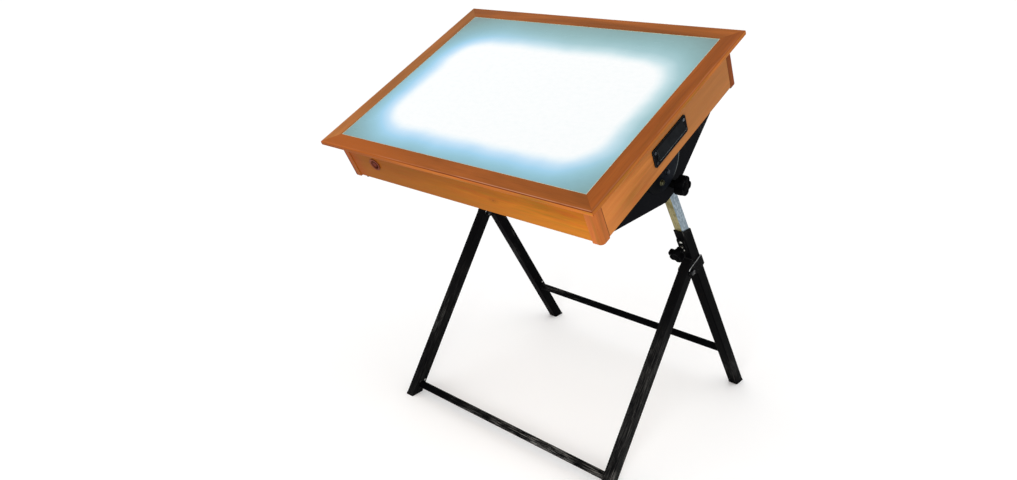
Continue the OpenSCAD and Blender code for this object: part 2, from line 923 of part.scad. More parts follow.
module rear_leg(side) {
    color([0.07, 0.07, 0.07]) side_copy(side) difference() {
        on_rear() translate([leg_x, 0, 0]) box_tube(rear_tube_w, rear_tube_d, wall, -40, rear_leg_s);
        floor_slab(-100, foot_t);
    }
}

module rear_leg_left() { rear_leg(-1); }

module rear_leg_right() { rear_leg(1); }

module rear_brace() {
    reach = leg_x - rear_tube_w / 2;
    color([0.07, 0.07, 0.07]) translate([0, rear_foot - mid_y - rear_brace_z * tan(rear_lean),
        rear_brace_z]) difference() {
            bar_x(brace_r, -reach, reach);
            bar_x(brace_r - 1.5, -reach - 1, reach + 1);
        }
}

// One cheek of the fold bracket, from the rear leg to the eye round the fold bolt
module fold_cheek() {
    rotate([90, 0, 90]) linear_extrude(height = fold_plate) hull() {
        translate([fold_off, fold_s]) circle(r = fold_eye_r, $fn = 32);
        translate([-rear_tube_d / 2 + 2, rear_leg_s - fold_len])
            square([rear_tube_d + fold_web - 2, fold_len]);
    }
}

// Steel channel welded round the top of the rear leg, with an eye each side
module fold_brackets() {
    half = rear_tube_w / 2;
    color([0.07, 0.07, 0.07]) both_sides() difference() {
        on_rear() translate([leg_x, 0, 0]) {
            translate([half, 0, 0]) fold_cheek();
            translate([-half - fold_plate, 0, 0]) fold_cheek();
            translate([-half - eps, rear_tube_d / 2, rear_leg_s - fold_len])
                cube([2 * half + 2 * eps, fold_web, fold_len]);
        }
        on_fold() bar_x(bolt_r + run, leg_x - 30, leg_x + 30);
    }
}

module rear_feet() {
    color([0.05, 0.05, 0.05]) both_sides() on_rear() translate([leg_x, 0, 0])
        foot(rear_tube_w, rear_tube_d) {
            rotate([-rear_lean, 0, 0]) floor_slab(0, foot_t);
            rotate([-rear_lean, 0, 0]) floor_slab(foot_t - eps, plug_len);
        }
}

rim_rail_front();
rim_rail_rear();
rim_rail_left();
rim_rail_right();
glass_top();
diffuser_sheet();
glazing_bead();
apron_front();
apron_rear();
side_board_left();
side_board_right();
corner_post_front_left();
corner_post_front_right();
corner_post_rear_left();
corner_post_rear_right();
bottom_panel();
panel_screws();
reflector_tray();
lamp_tubes();
lamp_caps();
lampholders();
ballasts();
starters();
wiring_loom();
switch_body();
switch_button();
cord_gland();
handle_left();
handle_right();
handle_screws();
tilt_bracket_left();
tilt_bracket_right();
quadrant_left();
quadrant_right();
bracket_fasteners();
inner_tube_left();
inner_tube_right();
inner_tube_caps();
pivot_bolts();
friction_washers();
tilt_knob_left();
tilt_knob_right();
height_knob_left();
height_knob_right();
height_stud_left();
height_stud_right();
front_leg_left();
front_leg_right();
sleeve_left();
sleeve_right();
front_brace();
clamp_plates();
clamp_rivets();
fold_bolts();
front_feet();
rear_leg_left();
rear_leg_right();
rear_brace();
fold_brackets();
rear_feet();
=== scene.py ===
"""Light-box drafting table on a folding black tube stand: materials, rounded edges,
detailed knobs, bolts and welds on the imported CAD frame, and the studio around it."""
import json
import random
from math import cos, pi, radians, sin

import bpy
from mathutils import Matrix, Vector


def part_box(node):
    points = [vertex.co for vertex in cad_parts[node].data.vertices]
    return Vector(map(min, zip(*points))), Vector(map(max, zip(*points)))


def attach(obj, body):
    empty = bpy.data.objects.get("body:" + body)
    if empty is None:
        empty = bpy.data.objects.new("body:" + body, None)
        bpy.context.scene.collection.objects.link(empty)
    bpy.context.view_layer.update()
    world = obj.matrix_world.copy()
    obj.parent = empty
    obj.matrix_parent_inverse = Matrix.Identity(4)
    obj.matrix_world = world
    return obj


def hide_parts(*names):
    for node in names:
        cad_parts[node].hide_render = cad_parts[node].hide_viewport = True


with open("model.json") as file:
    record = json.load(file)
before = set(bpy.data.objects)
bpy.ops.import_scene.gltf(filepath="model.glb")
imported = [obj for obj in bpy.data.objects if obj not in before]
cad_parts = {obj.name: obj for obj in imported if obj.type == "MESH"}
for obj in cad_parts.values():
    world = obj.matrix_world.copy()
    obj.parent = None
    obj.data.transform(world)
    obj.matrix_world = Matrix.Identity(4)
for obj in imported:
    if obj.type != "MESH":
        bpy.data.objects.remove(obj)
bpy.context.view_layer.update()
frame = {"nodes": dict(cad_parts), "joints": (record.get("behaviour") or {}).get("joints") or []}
SCENE = bpy.context.scene

MM = 0.001
SEED = 11

# The table's own angles, as built: the board's slope and the lean of the legs
TILT = radians(26.1)
FRONT_LEAN = radians(33.66)
REAR_LEAN = radians(33.03)

# Out of the front face of the sleeves
SLEEVE_OUT = Vector((0, -cos(REAR_LEAN), -sin(REAR_LEAN)))

# Where the board's own frame starts, seen from the tilt pivot
PIVOT_BACK = 9.7 * MM
PIVOT_DEPTH = 203 * MM

# Sizes that several materials and pieces share
BOX_HALF_D = 274 * MM
POST_W = 25 * MM
TUBE_W = 25 * MM
TUBE_D = 32 * MM
LEG_X = 329 * MM

# The pull handles: middle along and out of the board, the side board's face, the flange
HANDLE_MIDDLE = (-4.5 * MM, -70 * MM)
HANDLE_FACE = 375 * MM
HANDLE_PLATE = 3 * MM

# The half-round stiffener: its middle along and out of the board, and its radius
QUADRANT_MIDDLE = (-8 * MM, -127 * MM)
QUADRANT_R = 69 * MM

NODES = frame["nodes"]
JOINTS = {joint["name"]: joint for joint in frame["joints"]}


# ---- Frames of reference ----

def middle(node):
    lo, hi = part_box(node)
    return (lo + hi) / 2


def frame_matrix(origin, lean):
    """Places a frame whose Z leans away from the vertical in the plane of the side view."""
    return Matrix.Translation(origin) @ Matrix.Rotation(lean, 4, "X")


def board_matrix():
    """Board frame: X right, Y up the slope, Z out of the drawing surface."""
    pivot = Vector(JOINTS["board_tilt"]["pos_m"])
    turn = Matrix.Translation(Vector((0, pivot.y, pivot.z))) @ Matrix.Rotation(TILT, 4, "X")
    return turn @ Matrix.Translation((0, -PIVOT_BACK, PIVOT_DEPTH))


FRAMES = {
    "row": Matrix.Identity(4),
    "board": board_matrix(),
    "front_leg": frame_matrix(middle("front_brace"), -FRONT_LEAN),
    "rear_leg": frame_matrix(middle("rear_brace"), REAR_LEAN),
}


# ---- Node helper ----

def srgb(red, green, blue):
    """A colour given in 0 to 255 screen values, as the linear colour that shaders use."""
    def linear(value):
        share = value / 255
        return share / 12.92 if share <= 0.04045 else ((share + 0.055) / 1.055) ** 2.4
    return (linear(red), linear(green), linear(blue), 1)


# The cosine between the two normals where edge wear and its painted edge highlight start, and where
# they are full
EDGE_WEAR_AND_HIGHLIGHT_COSINES = (0.97, 0.80)


class Shade:
    """One material. Each method adds a node and returns the socket that carries its result.
    A colour is such a socket, or three screen values from 0 to 255."""

    def __init__(self, name):
        self.material = bpy.data.materials.new(name)
        self.material.use_nodes = True
        self.tree = self.material.node_tree
        self.shader = self.tree.nodes["Principled BSDF"]

    def add(self, kind, **settings):
        node = self.tree.nodes.new("ShaderNode" + kind)
        for key, value in settings.items():
            setattr(node, key, value)
        return node

    def feed(self, socket, value):
        if isinstance(value, bpy.types.NodeSocket):
            self.tree.links.new(value, socket)
        else:
            socket.default_value = value

    def fill(self, node, **values):
        """Feeds a node's inputs by name; an underscore stands for a space."""
        for name, value in values.items():
            self.feed(node.inputs[name.replace("_", " ")], value)
        return node

    def coords(self, place="row", stretch=(1, 1, 1), shift=(0, 0, 0)):
        """Position in one of the frames, in metres, then stretched and shifted."""
        origin, turn, _ = FRAMES[place].decompose()
        spot = self.add("TexCoord").outputs["Object"]
        local = self.add("Mapping", vector_type="TEXTURE")
        self.fill(local, Vector=spot, Location=origin, Rotation=turn.to_euler())
        if stretch == (1, 1, 1) and shift == (0, 0, 0):
            return local.outputs["Vector"]
        node = self.add("Mapping", vector_type="POINT")
        self.fill(node, Vector=local.outputs["Vector"], Location=shift, Scale=stretch)
        return node.outputs["Vector"]

    def split(self, vector):
        node = self.fill(self.add("SeparateXYZ"), Vector=vector)
        return node.outputs["X"], node.outputs["Y"], node.outputs["Z"]

    def noise(self, vector, scale, detail=3, roughness=0.55, distortion=0.0):
        node = self.add("TexNoise")
        self.fill(node, Vector=vector, Scale=scale, Detail=detail, Roughness=roughness,
                  Distortion=distortion)
        return node.outputs["Fac"]

    def cells(self, vector, scale):
        """Distance from the middle of a cell, and a random colour for each cell."""
        node = self.fill(self.add("TexVoronoi"), Vector=vector, Scale=scale)
        return node.outputs["Distance"], node.outputs["Color"]

    def maths(self, operation, a, b=0.0, clamp=False):
        node = self.add("Math", operation=operation, use_clamp=clamp)
        self.feed(node.inputs[0], a)
        self.feed(node.inputs[1], b)
        return node.outputs["Value"]

    def plus(self, a, b):
        return self.maths("ADD", a, b)

    def minus(self, a, b):
        return self.maths("SUBTRACT", a, b)

    def times(self, a, b):
        return self.maths("MULTIPLY", a, b)

    def size(self, a):
        return self.maths("ABSOLUTE", a)

    def fade(self, value, start=0.3, end=0.7, low=0.0, high=1.0):
        """Eases from low, where value is start, to high, where it is end."""
        node = self.add("MapRange", interpolation_type="SMOOTHSTEP")
        self.fill(node, Value=value, From_Min=start, From_Max=end, To_Min=low, To_Max=high)
        return node.outputs["Result"]

    def ramp(self, value, *stops):
        node = self.add("ValToRGB")
        self.feed(node.inputs["Fac"], value)
        band = node.color_ramp
        while len(band.elements) < len(stops):
            band.elements.new(1.0)
        for element, (place, colour) in zip(band.elements, stops):
            element.position = place
            element.color = srgb(*colour)
        return node.outputs["Color"]

    def mix(self, share, a, b):
        node = self.fill(self.add("Mix", data_type="RGBA"), Factor=share)
        for socket, colour in zip([s for s in node.inputs if s.type == "RGBA"], (a, b)):
            self.feed(socket, srgb(*colour) if isinstance(colour, tuple) else colour)
        return next(s for s in node.outputs if s.type == "RGBA")

    def tint(self, colour, value, start, end, share, tone):
        """Moves colour towards tone, from nothing where value is start to share where it is end."""
        return self.mix(self.fade(value, start, end, 0.0, share), colour, tone)

    def facing(self):
        """The surface's own direction, unaffected by bump."""
        return self.split(self.add("NewGeometry").outputs["True Normal"])

    def edge_wear_and_highlight(self, radius):
        """1 along sharp edges and 0 elsewhere, from the angle between a softened and a true normal."""
        soft = self.fill(self.add("Bevel", samples=4), Radius=radius)
        dot = self.add("VectorMath", operation="DOT_PRODUCT")
        self.feed(dot.inputs[0], soft.outputs["Normal"])
        self.feed(dot.inputs[1], self.add("NewGeometry").outputs["Normal"])
        return self.fade(dot.outputs["Value"], *EDGE_WEAR_AND_HIGHLIGHT_COSINES)

    def bump(self, height, depth, strength):
        """The normal over a relief that is depth millimetres deep."""
        node = self.add("Bump")
        self.fill(node, Height=height, Distance=depth * MM, Strength=strength)
        return node.outputs["Normal"]

    def radius(self, along, up):
        """Distance from the line where both values are zero."""
        squares = [self.times(value, value) for value in (along, up)]
        return self.maths("SQRT", self.plus(*squares))

    def done(self, colour, roughness, normal, shine=0.5, **others):
        """Wires up the shader and returns the material; shine is the specular level."""
        self.fill(self.shader, Base_Color=colour, Roughness=roughness, Normal=normal,
                  Specular_IOR_Level=shine, **others)
        return self.material


# ---- Wood ----

def stain(red, green, blue, spread=0.16):
    """Dark, middle and pale tone of one varnished board."""
    return [(red * share, green * share, blue * share)
            for share in (1 - spread, 1, 1 + spread)]


FRONT_APRON = stain(164, 95, 20)
REAR_APRON = stain(158, 92, 26)
RIGHT_BOARD = stain(164, 100, 46)
LEFT_BOARD = stain(156, 94, 40)
# The front left post's darker tone is painted shade
POSTS = {
    "front_left": stain(134, 68, 32, 0.14), "front_right": stain(164, 92, 44, 0.14),
    "rear_left": stain(146, 86, 36, 0.14), "rear_right": stain(118, 54, 12, 0.14),
}
RIM_EDGE = stain(166, 94, 36)
# Painted shade: each rail's upper face is darker than its edge, where less light falls
RIM_TOP_SHADES = {
    "front": stain(128, 70, 30, 0.24), "rear": stain(146, 82, 36, 0.20),
    "left": stain(164, 102, 52, 0.18), "right": stain(140, 74, 30, 0.24),
}
OLIVE_STREAK = (122, 94, 18)
RED_STREAK = (158, 66, 20)
PORE = (84, 38, 8)
GLUE_LINE = (52, 20, 8)
KNOT = (104, 58, 14)
# Painted highlight along each rail's rounded outer arris, over a thin painted shadow line; their shares
# per rail
ARRIS = (206, 150, 122)
ARRIS_SHADE = (96, 40, 16)
ARRIS_SHINE = {"front": 0.42, "rear": 0.2, "left": 0.3, "right": 0.12}
ARRIS_SHADOW_SHARE = {"front": 0.9, "rear": 0.3, "left": 0.4, "right": 0.0}

# Light and shade painted along a board: the axis, where they start and are full, tone and share
RIM_FAR = (50 * MM, -320 * MM)
LIGHT_AND_SHADE_ALONG = {
    "rim_rail_front": (("X", *RIM_FAR, (172, 90, 30), 0.8),),
    "apron_front": (("Z", -60 * MM, -105 * MM, (198, 122, 40), 0.4),
                    ("X", 400 * MM, -220 * MM, (118, 65, 14), 0.72),
                    ("X", -300 * MM, -345 * MM, (140, 58, 20), 0.5)),
    "side_board_right": (("Y", -160 * MM, 100 * MM, (158, 104, 58), 0.6),
                         ("Y", -140 * MM, -250 * MM, (196, 120, 60), 0.6)),
}

# Painted shade on the far end of the front rail's lower edge, and on the strip along the far post's
# outer side
RIM_FAR_EDGE = (122, 62, 20)
RIM_FAR_DEPTH = (-1.2 * MM, -3.0 * MM)
RIM_FAR_SHARE = 0.75
POST_FAR = (84, 38, 16)
POST_FAR_STRIP = (13 * MM, 10 * MM)
POST_FAR_SHARE = 0.75

KNOT_SPOT = (106 * MM, -76 * MM)
KNOT_RADIUS = 4.0 * MM
RIGHT_STREAKS = 0.6
POST_STREAKS = 0.45


class Board:
    """Varnished wood in the making. grain is the board axis that the fibres follow."""

    def __init__(self, name, grain, tones, shift, streaks=1.0):
        self.s = s = Shade(name)
        self.here = s.coords("board")
        self.x, self.y, self.z = s.split(self.here)
        self.long_axis = "XYZ".index(grain)
        self.shift = shift
        dark, mid, pale = tones
        self.figure = s.noise(self.along(0.085), 13, 4, 0.6, 0.9)
        self.fibre = s.noise(self.along(0.03), 420, 3, 0.6)
        rings = s.maths("SINE", s.times(s.noise(self.along(0.085), 8, 2, 0.45, 0.5), 90.0))
        streak = s.noise(self.along(0.055), 170, 3, 0.6, 0.2)
        blush = s.noise(self.along(0.07), 105, 3, 0.6, 0.3)

        # Broad figure and growth rings, then coloured streaks, then single fibres
        colour = s.ramp(self.figure, (0.32, dark), (0.48, mid), (0.66, pale))
        colour = s.tint(colour, rings, 0.1, 1.0, 0.22, dark)
        colour = s.tint(colour, streak, 0.50, 0.66, 0.55 * streaks, OLIVE_STREAK)
        colour = s.tint(colour, blush, 0.50, 0.66, 0.42 * streaks, RED_STREAK)
        colour = s.tint(colour, self.fibre, 0.46, 0.74, 0.36, dark)
        colour = s.tint(colour, self.fibre, 0.44, 0.22, 0.32, pale)

        # Pores: short dark dashes along the fibres
        dash, _ = s.cells(self.along(0.11), 300)
        sparse = s.fade(self.figure, 0.62, 0.42)
        self.pore = s.times(s.fade(dash, 0.13, 0.05), sparse)
        self.colour = s.mix(s.times(self.pore, 0.5), colour, PORE)

    def along(self, share):
        """Coordinates drawn out along the fibres."""
        stretch = [1.0, 1.0, 1.0]
        stretch[self.long_axis] = share
        return self.s.coords("board", tuple(stretch), self.shift)

    def paint(self, share, colour):
        self.colour = self.s.mix(share, self.colour, colour)

    def shade_along(self, axis, start, end, colour, share):
        """Paints light and shade on the board towards colour, from nothing at start to share at end."""
        value = (self.x, self.y, self.z)["XYZ".index(axis)]
        self.paint(self.s.fade(value, start, end, 0.0, share), colour)

    def seam(self):
        """A thin dark glue line where a post meets the boards."""
        s = self.s
        gap = s.minus(s.size(self.y), BOX_HALF_D - POST_W)
        line = s.fade(s.size(gap), 0.9 * MM, 0.35 * MM)
        self.paint(s.times(line, 0.9), GLUE_LINE)

    def knot(self, centre, radius):
        """A small knot: a dark eye in a ring of swirled grain."""
        s = self.s
        along = s.times(s.minus(self.x, centre[0]), 0.62)
        far = s.radius(along, s.minus(self.z, centre[1]))
        far = s.plus(far, s.times(s.noise(self.here, 150, 2), 2.0 * MM))
        ripple = s.maths("SINE", s.times(far, 2600.0))
        ring = s.times(s.fade(ripple, -0.2, 0.9), s.fade(far, 3.2 * radius, radius))
        self.paint(s.times(ring, 0.75), KNOT)
        self.paint(s.fade(far, 0.85 * radius, 0.5 * radius, 0.0, 0.55), KNOT)

    def rim(self, tones, side):
        """Painted shade that darkens a rail's upper face, and a painted highlight along its outer arris
        over a thin painted shadow line.
        """
        s = self.s
        dark, mid, pale = tones
        # Painted shade on the upper face
        top = s.fade(self.z, -2.6 * MM, -0.9 * MM)
        shaded_top = s.ramp(self.figure, (0.30, dark), (0.48, mid), (0.68, pale))
        shaded_top = s.tint(shaded_top, self.fibre, 0.44, 0.72, 0.35, dark)
        self.paint(s.times(top, 0.88), shaded_top)
        axis = 1 if side in ("front", "rear") else 0
        across = (self.x, self.y)[axis]
        inset = s.minus(board_reach(f"rim_rail_{side}", axis), s.size(across))
        # Painted highlight along the outer arris
        upper = s.fade(self.z, -0.9 * MM, -0.5 * MM)
        patch = s.fade(s.noise(self.here, 9), 0.36, 0.60, 0.2, 1.0)
        line = s.times(s.fade(inset, 4.2 * MM, 3.0 * MM), upper)
        self.paint(s.times(line, s.times(patch, ARRIS_SHINE[side])), ARRIS)
        # Painted shadow line just under the arris
        corner = s.fade(self.z, -2.2 * MM, -1.6 * MM)
        arris_shadow_line = s.times(s.fade(inset, 1.9 * MM, 1.2 * MM), corner)
        self.paint(s.times(arris_shadow_line, ARRIS_SHADOW_SHARE[side]), ARRIS_SHADE)

    def done(self):
        s = self.s
        gloss = s.fade(self.fibre, 0.3, 0.7, 0.32, 0.42)
        gloss = s.plus(gloss, s.times(self.pore, 0.25))
        relief = s.times(self.fibre, 0.35)
        relief = s.plus(relief, s.times(self.pore, -0.5))
        relief = s.plus(relief, s.times(s.noise(self.here, 38, 2), 0.5))
        return s.done(self.colour, gloss, s.bump(relief, 0.12, 0.6), shine=0.03)


def board_reach(node, axis):
    """How far a node reaches from the middle of the board frame along one axis."""
    inverse = FRAMES["board"].inverted()
    return max(abs((inverse @ v.co)[axis]) for v in NODES[node].data.vertices)


# ---- Glass panel ----

GLOW_MIDDLE = (12 * MM, -19 * MM)
GLOW_HALF = (288 * MM, 159 * MM)
GLOW_CORNER = 70 * MM
GLOW_REACH = 150 * MM
GLASS_GLOW = 0.93
GLOW_STOPS = (
    (0.0, (255, 255, 255)), (0.07, (243, 250, 254)), (0.19, (198, 227, 250)),
    (0.32, (160, 209, 238)), (0.44, (145, 194, 212)), (0.58, (134, 178, 190)),
    (0.78, (126, 164, 167)), (1.0, (118, 144, 143)),
)
# The same fade where the glow leans to grey-teal, towards the rear right
TEAL_STOPS = (
    (0.0, (255, 255, 255)), (0.08, (240, 248, 250)), (0.2, (198, 224, 230)),
    (0.34, (162, 198, 204)), (0.48, (146, 184, 188)), (0.62, (136, 172, 174)),
    (0.8, (128, 160, 160)), (1.0, (120, 146, 144)),
)


def glow_distance(s, here):
    """Distance outside the bright rounded rectangle that the lamps make, from 0 to 1."""
    x, y, _ = s.split(here)
    outside = []
    for value, centre, half in zip((x, y), GLOW_MIDDLE, GLOW_HALF):
        away = s.size(s.minus(value, centre))
        outside.append(s.maths("MAXIMUM", s.minus(away, half - GLOW_CORNER), 0.0))
    far = s.radius(*outside)
    wobble = s.times(s.minus(s.noise(here, 9, 2), 0.5), 22 * MM)
    far = s.plus(s.minus(far, GLOW_CORNER), wobble)
    return s.maths("DIVIDE", far, GLOW_REACH, clamp=True)


def lit_glass():
    """Frosted glass over the lamps: a white rounded glow that cools to grey-teal in the corners."""
    s = Shade("lit_glass")
    here = s.coords("board")
    far = glow_distance(s, here)
    blue = s.ramp(far, *GLOW_STOPS)
    teal = s.ramp(far, *TEAL_STOPS)
    x, y, _ = s.split(here)
    rear_right = s.plus(x, s.times(y, 1.4))
    glow = s.mix(s.fade(rear_right, -0.15, 0.35), blue, teal)
    streak = s.noise(s.coords("board", (1, 1.6, 1)), 60, 4, 0.65)
    glow = s.tint(glow, streak, 0.35, 0.75, 0.06, (120, 160, 165))
    frost = s.noise(here, 900, 2)
    smear = s.noise(s.coords("board", (1, 2.5, 1)), 7, 3, 0.6)
    body = s.mix(s.fade(streak), (34, 46, 48), (44, 58, 60))
    return s.done(body, s.fade(smear, 0.3, 0.7, 0.16, 0.30), s.bump(frost, 0.01, 0.3),
                  shine=0.12, Emission_Color=glow, Emission_Strength=GLASS_GLOW)


def bead_silicone():
    s = Shade("bead_silicone")
    here = s.coords("board")
    mottle = s.noise(here, 240)
    colour = s.mix(s.fade(mottle), (196, 206, 186), (164, 172, 148))
    return s.done(colour, s.fade(mottle, 0.2, 0.8, 0.34, 0.5), s.bump(mottle, 0.2, 0.4),
                  Transmission_Weight=0.1)


# ---- Painted, plated and moulded finishes ----

# Grey of rubbed bare steel, also used for painted edge highlights
RUBBED_AND_HIGHLIGHT_GREY = (118, 116, 112)


def black_paint(name, place, wear, tone=(4, 4, 5), gloss=0.42, fade_in=None):
    """Black enamel on steel, with orange peel, dust, long rubbed streaks of bare grey, and worn edges
    whose grey is also a painted highlight.
    fade_in gives the two places along the tube between which the streaks set in."""
    s = Shade(name)
    here = s.coords(place)
    along = s.coords(place, (1, 1, 0.035))
    peel = s.noise(here, 850, 2)
    patch = s.noise(here, 14, 3, 0.6)
    streak = s.noise(along, 620, 3, 0.7)
    zone = s.fade(s.noise(s.coords(place, (1, 1, 0.4)), 16, 3, 0.6), 0.62 - 0.26 * wear, 0.66)
    if fade_in:
        reach = s.fade(s.split(here)[2], *fade_in)
        zone = s.times(s.maths("MAXIMUM", zone, 0.2), reach)
    rubbed = s.times(s.fade(streak, 0.50, 0.62), zone)
    rubbed = s.times(rubbed, wear)
    # Edges: rubbed bare, and painted grey as a painted highlight
    edges = s.times(s.edge_wear_and_highlight(1.2 * MM), s.fade(patch, 0.45, 0.62))
    bare = s.maths("MAXIMUM", rubbed, s.times(edges, 0.35 * wear + 0.15), clamp=True)
    base = s.mix(s.fade(patch, 0.35, 0.7), tone, tuple(v + 4 for v in tone))
    chips, _ = s.cells(here, 120)
    chip = s.times(s.fade(chips, 0.11, 0.08), s.fade(patch, 0.56, 0.62))
    bare = s.maths("MAXIMUM", bare, s.times(chip, 0.5 * wear))
    colour = s.mix(bare, base, RUBBED_AND_HIGHLIGHT_GREY)
    rough = s.fade(patch, 0.3, 0.75, gloss - 0.05, gloss + 0.12)
    rough = s.plus(rough, s.times(bare, 0.12))
    height = s.plus(s.times(peel, 0.5), s.times(bare, -0.6))
    return s.done(colour, rough, s.bump(height, 0.05, 0.5), shine=0.006)


def metal(name, pale, dark, rough, stain=None, stain_share=0.3):
    """Bare or plated metal with fine scratches, blotches and an optional stain colour."""
    s = Shade(name)
    here = s.coords()
    lines = s.noise(here, 260, 3, 0.6)
    blotch = s.noise(here, 55, 4, 0.62)
    colour = s.mix(s.fade(blotch, 0.32, 0.68), dark, pale)
    colour = s.tint(colour, lines, 0.4, 0.75, 0.35, dark)
    if stain:
        spot = s.fade(s.noise(here, 130, 4, 0.7), 0.55, 0.72, 0.0, stain_share)
        colour = s.mix(spot, colour, stain)
    gloss = s.plus(s.fade(lines, 0.3, 0.7, rough - 0.06, rough + 0.08),
                    s.fade(blotch, 0.4, 0.7, 0.0, 0.08))
    return s.done(colour, gloss, s.bump(lines, 0.02, 0.5), Metallic=1.0)


def zinc_tube():
    """Plated height tube: spangled blue-grey on its left and right faces, olive on the others, the
    colour following which way each face looks as a painted reflection.
    """
    s = Shade("zinc_height_tube")
    here = s.coords("rear_leg")
    # Painted reflection: colour chosen by the face's direction
    across, _, _ = s.facing()
    flank = s.fade(s.size(across), 0.55, 0.85)
    _, crystal = s.cells(s.coords("rear_leg", (1, 1, 0.6)), 260)
    spangle = s.split(crystal)[0]
    drawn = s.noise(s.coords("rear_leg", (1, 1, 0.04)), 700, 3, 0.65)
    cloud = s.noise(here, 45, 4, 0.6)
    blue = s.mix(s.fade(spangle, 0.0, 1.0), (108, 124, 134), (147, 161, 171))
    blue = s.tint(blue, cloud, 0.5, 0.7, 0.4, (96, 108, 120))
    olive = s.mix(s.fade(cloud, 0.35, 0.65), (112, 104, 62), (156, 148, 106))
    olive = s.tint(olive, drawn, 0.5, 0.66, 0.5, (84, 72, 40))
    colour = s.mix(flank, olive, blue)
    colour = s.tint(colour, drawn, 0.6, 0.7, 0.35, (96, 96, 98))
    return s.done(colour, s.fade(drawn, 0.3, 0.7, 0.34, 0.52), s.bump(drawn, 0.03, 0.6), Metallic=0.85)


def moulded(name, tone, lift, rough, grain=700, depth=0.05, edge_scuff_and_highlight=None, shine=0.008):
    """Moulded plastic or rubber with a fine texture, a slight cloudiness and rubbed edges whose lighter
    colour is also a painted highlight.
    """
    s = Shade(name)
    here = s.coords()
    texture = s.noise(here, grain, 3, 0.6)
    cloud = s.noise(here, 35, 3, 0.6)
    light = tuple(min(255, v + lift) for v in tone)
    colour = s.mix(s.fade(cloud), tone, light)
    colour = s.tint(colour, texture, 0.5, 0.8, 0.4, light)
    # Edges: rubbed, and lightened as a painted highlight
    edge = s.times(s.edge_wear_and_highlight(1.0 * MM), s.fade(cloud, 0.3, 0.6))
    colour = s.mix(s.times(edge, 0.45), colour, edge_scuff_and_highlight or light)
    gloss = s.minus(s.fade(texture, 0.3, 0.7, rough - 0.05, rough + 0.08), s.times(edge, 0.06))
    return s.done(colour, gloss, s.bump(texture, depth, 0.5), shine=shine)


def enamel(name, tone, dust, rough, glow=0.0):
    """Light painted or glazed finish with faint dust and soft unevenness."""
    s = Shade(name)
    here = s.coords("board")
    wave = s.noise(here, 60)
    speck = s.noise(here, 600, 4, 0.7)
    colour = s.mix(s.fade(speck, 0.56, 0.75, 0.0, 0.5), tone, dust)
    colour = s.tint(colour, wave, 0.5, 0.8, 0.25, dust)
    light = {"Emission_Color": colour, "Emission_Strength": glow} if glow else {}
    return s.done(colour, s.fade(wave, 0.3, 0.7, rough - 0.04, rough + 0.06),
                  s.bump(wave, 0.08, 0.4), **light)


def handle_enamel():
    """Bin pull: slate cover painted lighter than the flange as painted light, a painted highlight along
    its lower lip, and rubbed edges, on a blacker flange.
    """
    s = Shade("handle_enamel")
    here = s.coords("board")
    x, _, z = s.split(here)
    out = s.minus(s.size(x), HANDLE_FACE)
    down = s.minus(HANDLE_MIDDLE[1], z)
    texture = s.noise(here, 620, 3, 0.6)
    cloud = s.noise(here, 30, 3, 0.6)
    # Painted light: the cover's slate is lighter than the black flange
    lit_slate = s.mix(s.fade(cloud), (18, 20, 22), (27, 29, 31))
    lit_slate = s.tint(lit_slate, texture, 0.5, 0.78, 0.5, (40, 43, 46))
    black = s.mix(s.fade(texture, 0.4, 0.8), (8, 8, 10), (15, 16, 18))
    cover = s.fade(out, HANDLE_PLATE + 0.1 * MM, HANDLE_PLATE + 0.5 * MM)
    colour = s.mix(cover, black, lit_slate)
    # Painted highlight along the lower lip, with the rubbed edges
    lip_highlight = s.times(s.fade(down, 8.4 * MM, 9.2 * MM), s.fade(out, 6.0 * MM, 6.8 * MM))
    patch = s.fade(s.noise(here, 60, 3, 0.6), 0.38, 0.58, 0.35, 1.0)
    edge = s.times(s.edge_wear_and_highlight(1.0 * MM), 0.35)
    lit_edge = s.maths("MAXIMUM", s.times(lip_highlight, patch), edge, clamp=True)
    colour = s.mix(lit_edge, colour, (112, 120, 124))
    gloss = s.minus(s.fade(texture, 0.3, 0.7, 0.34, 0.46), s.times(lit_edge, 0.08))
    return s.done(colour, gloss, s.bump(texture, 0.05, 0.5), shine=0.01)


def plywood():
    s = Shade("birch_plywood")
    here = s.coords("board")
    at = s.coords("board", (0.05, 1, 1))
    band = s.noise(at, 26, 4, 0.6, 0.8)
    fibre = s.noise(s.coords("board", (0.02, 1, 1)), 520, 3, 0.6)
    colour = s.ramp(band, (0.3, (166, 126, 82)), (0.5, (194, 156, 108)), (0.7, (208, 174, 128)))
    colour = s.tint(colour, fibre, 0.45, 0.75, 0.45, (142, 102, 62))
    _, _, z = s.split(here)
    plies = s.maths("SINE", s.times(z, 4200.0))
    side = s.minus(1.0, s.size(s.facing()[2]))
    edge = s.times(s.fade(plies, -0.2, 0.4), s.fade(side, 0.5, 0.8))
    colour = s.mix(s.times(edge, 0.6), colour, (110, 74, 42))
    return s.done(colour, s.fade(fibre, 0.3, 0.7, 0.55, 0.7), s.bump(fibre, 0.1, 0.6))


# ---- Materials on the CAD nodes ----

def darken_far_end(rail):
    """Painted shade on the front rail's lower edge, darker towards its left end."""
    s = rail.s
    edge = s.fade(rail.z, *RIM_FAR_DEPTH)
    edge = s.times(edge, s.fade(rail.x, *RIM_FAR, 0.0, RIM_FAR_SHARE))
    rail.paint(edge, RIM_FAR_EDGE)


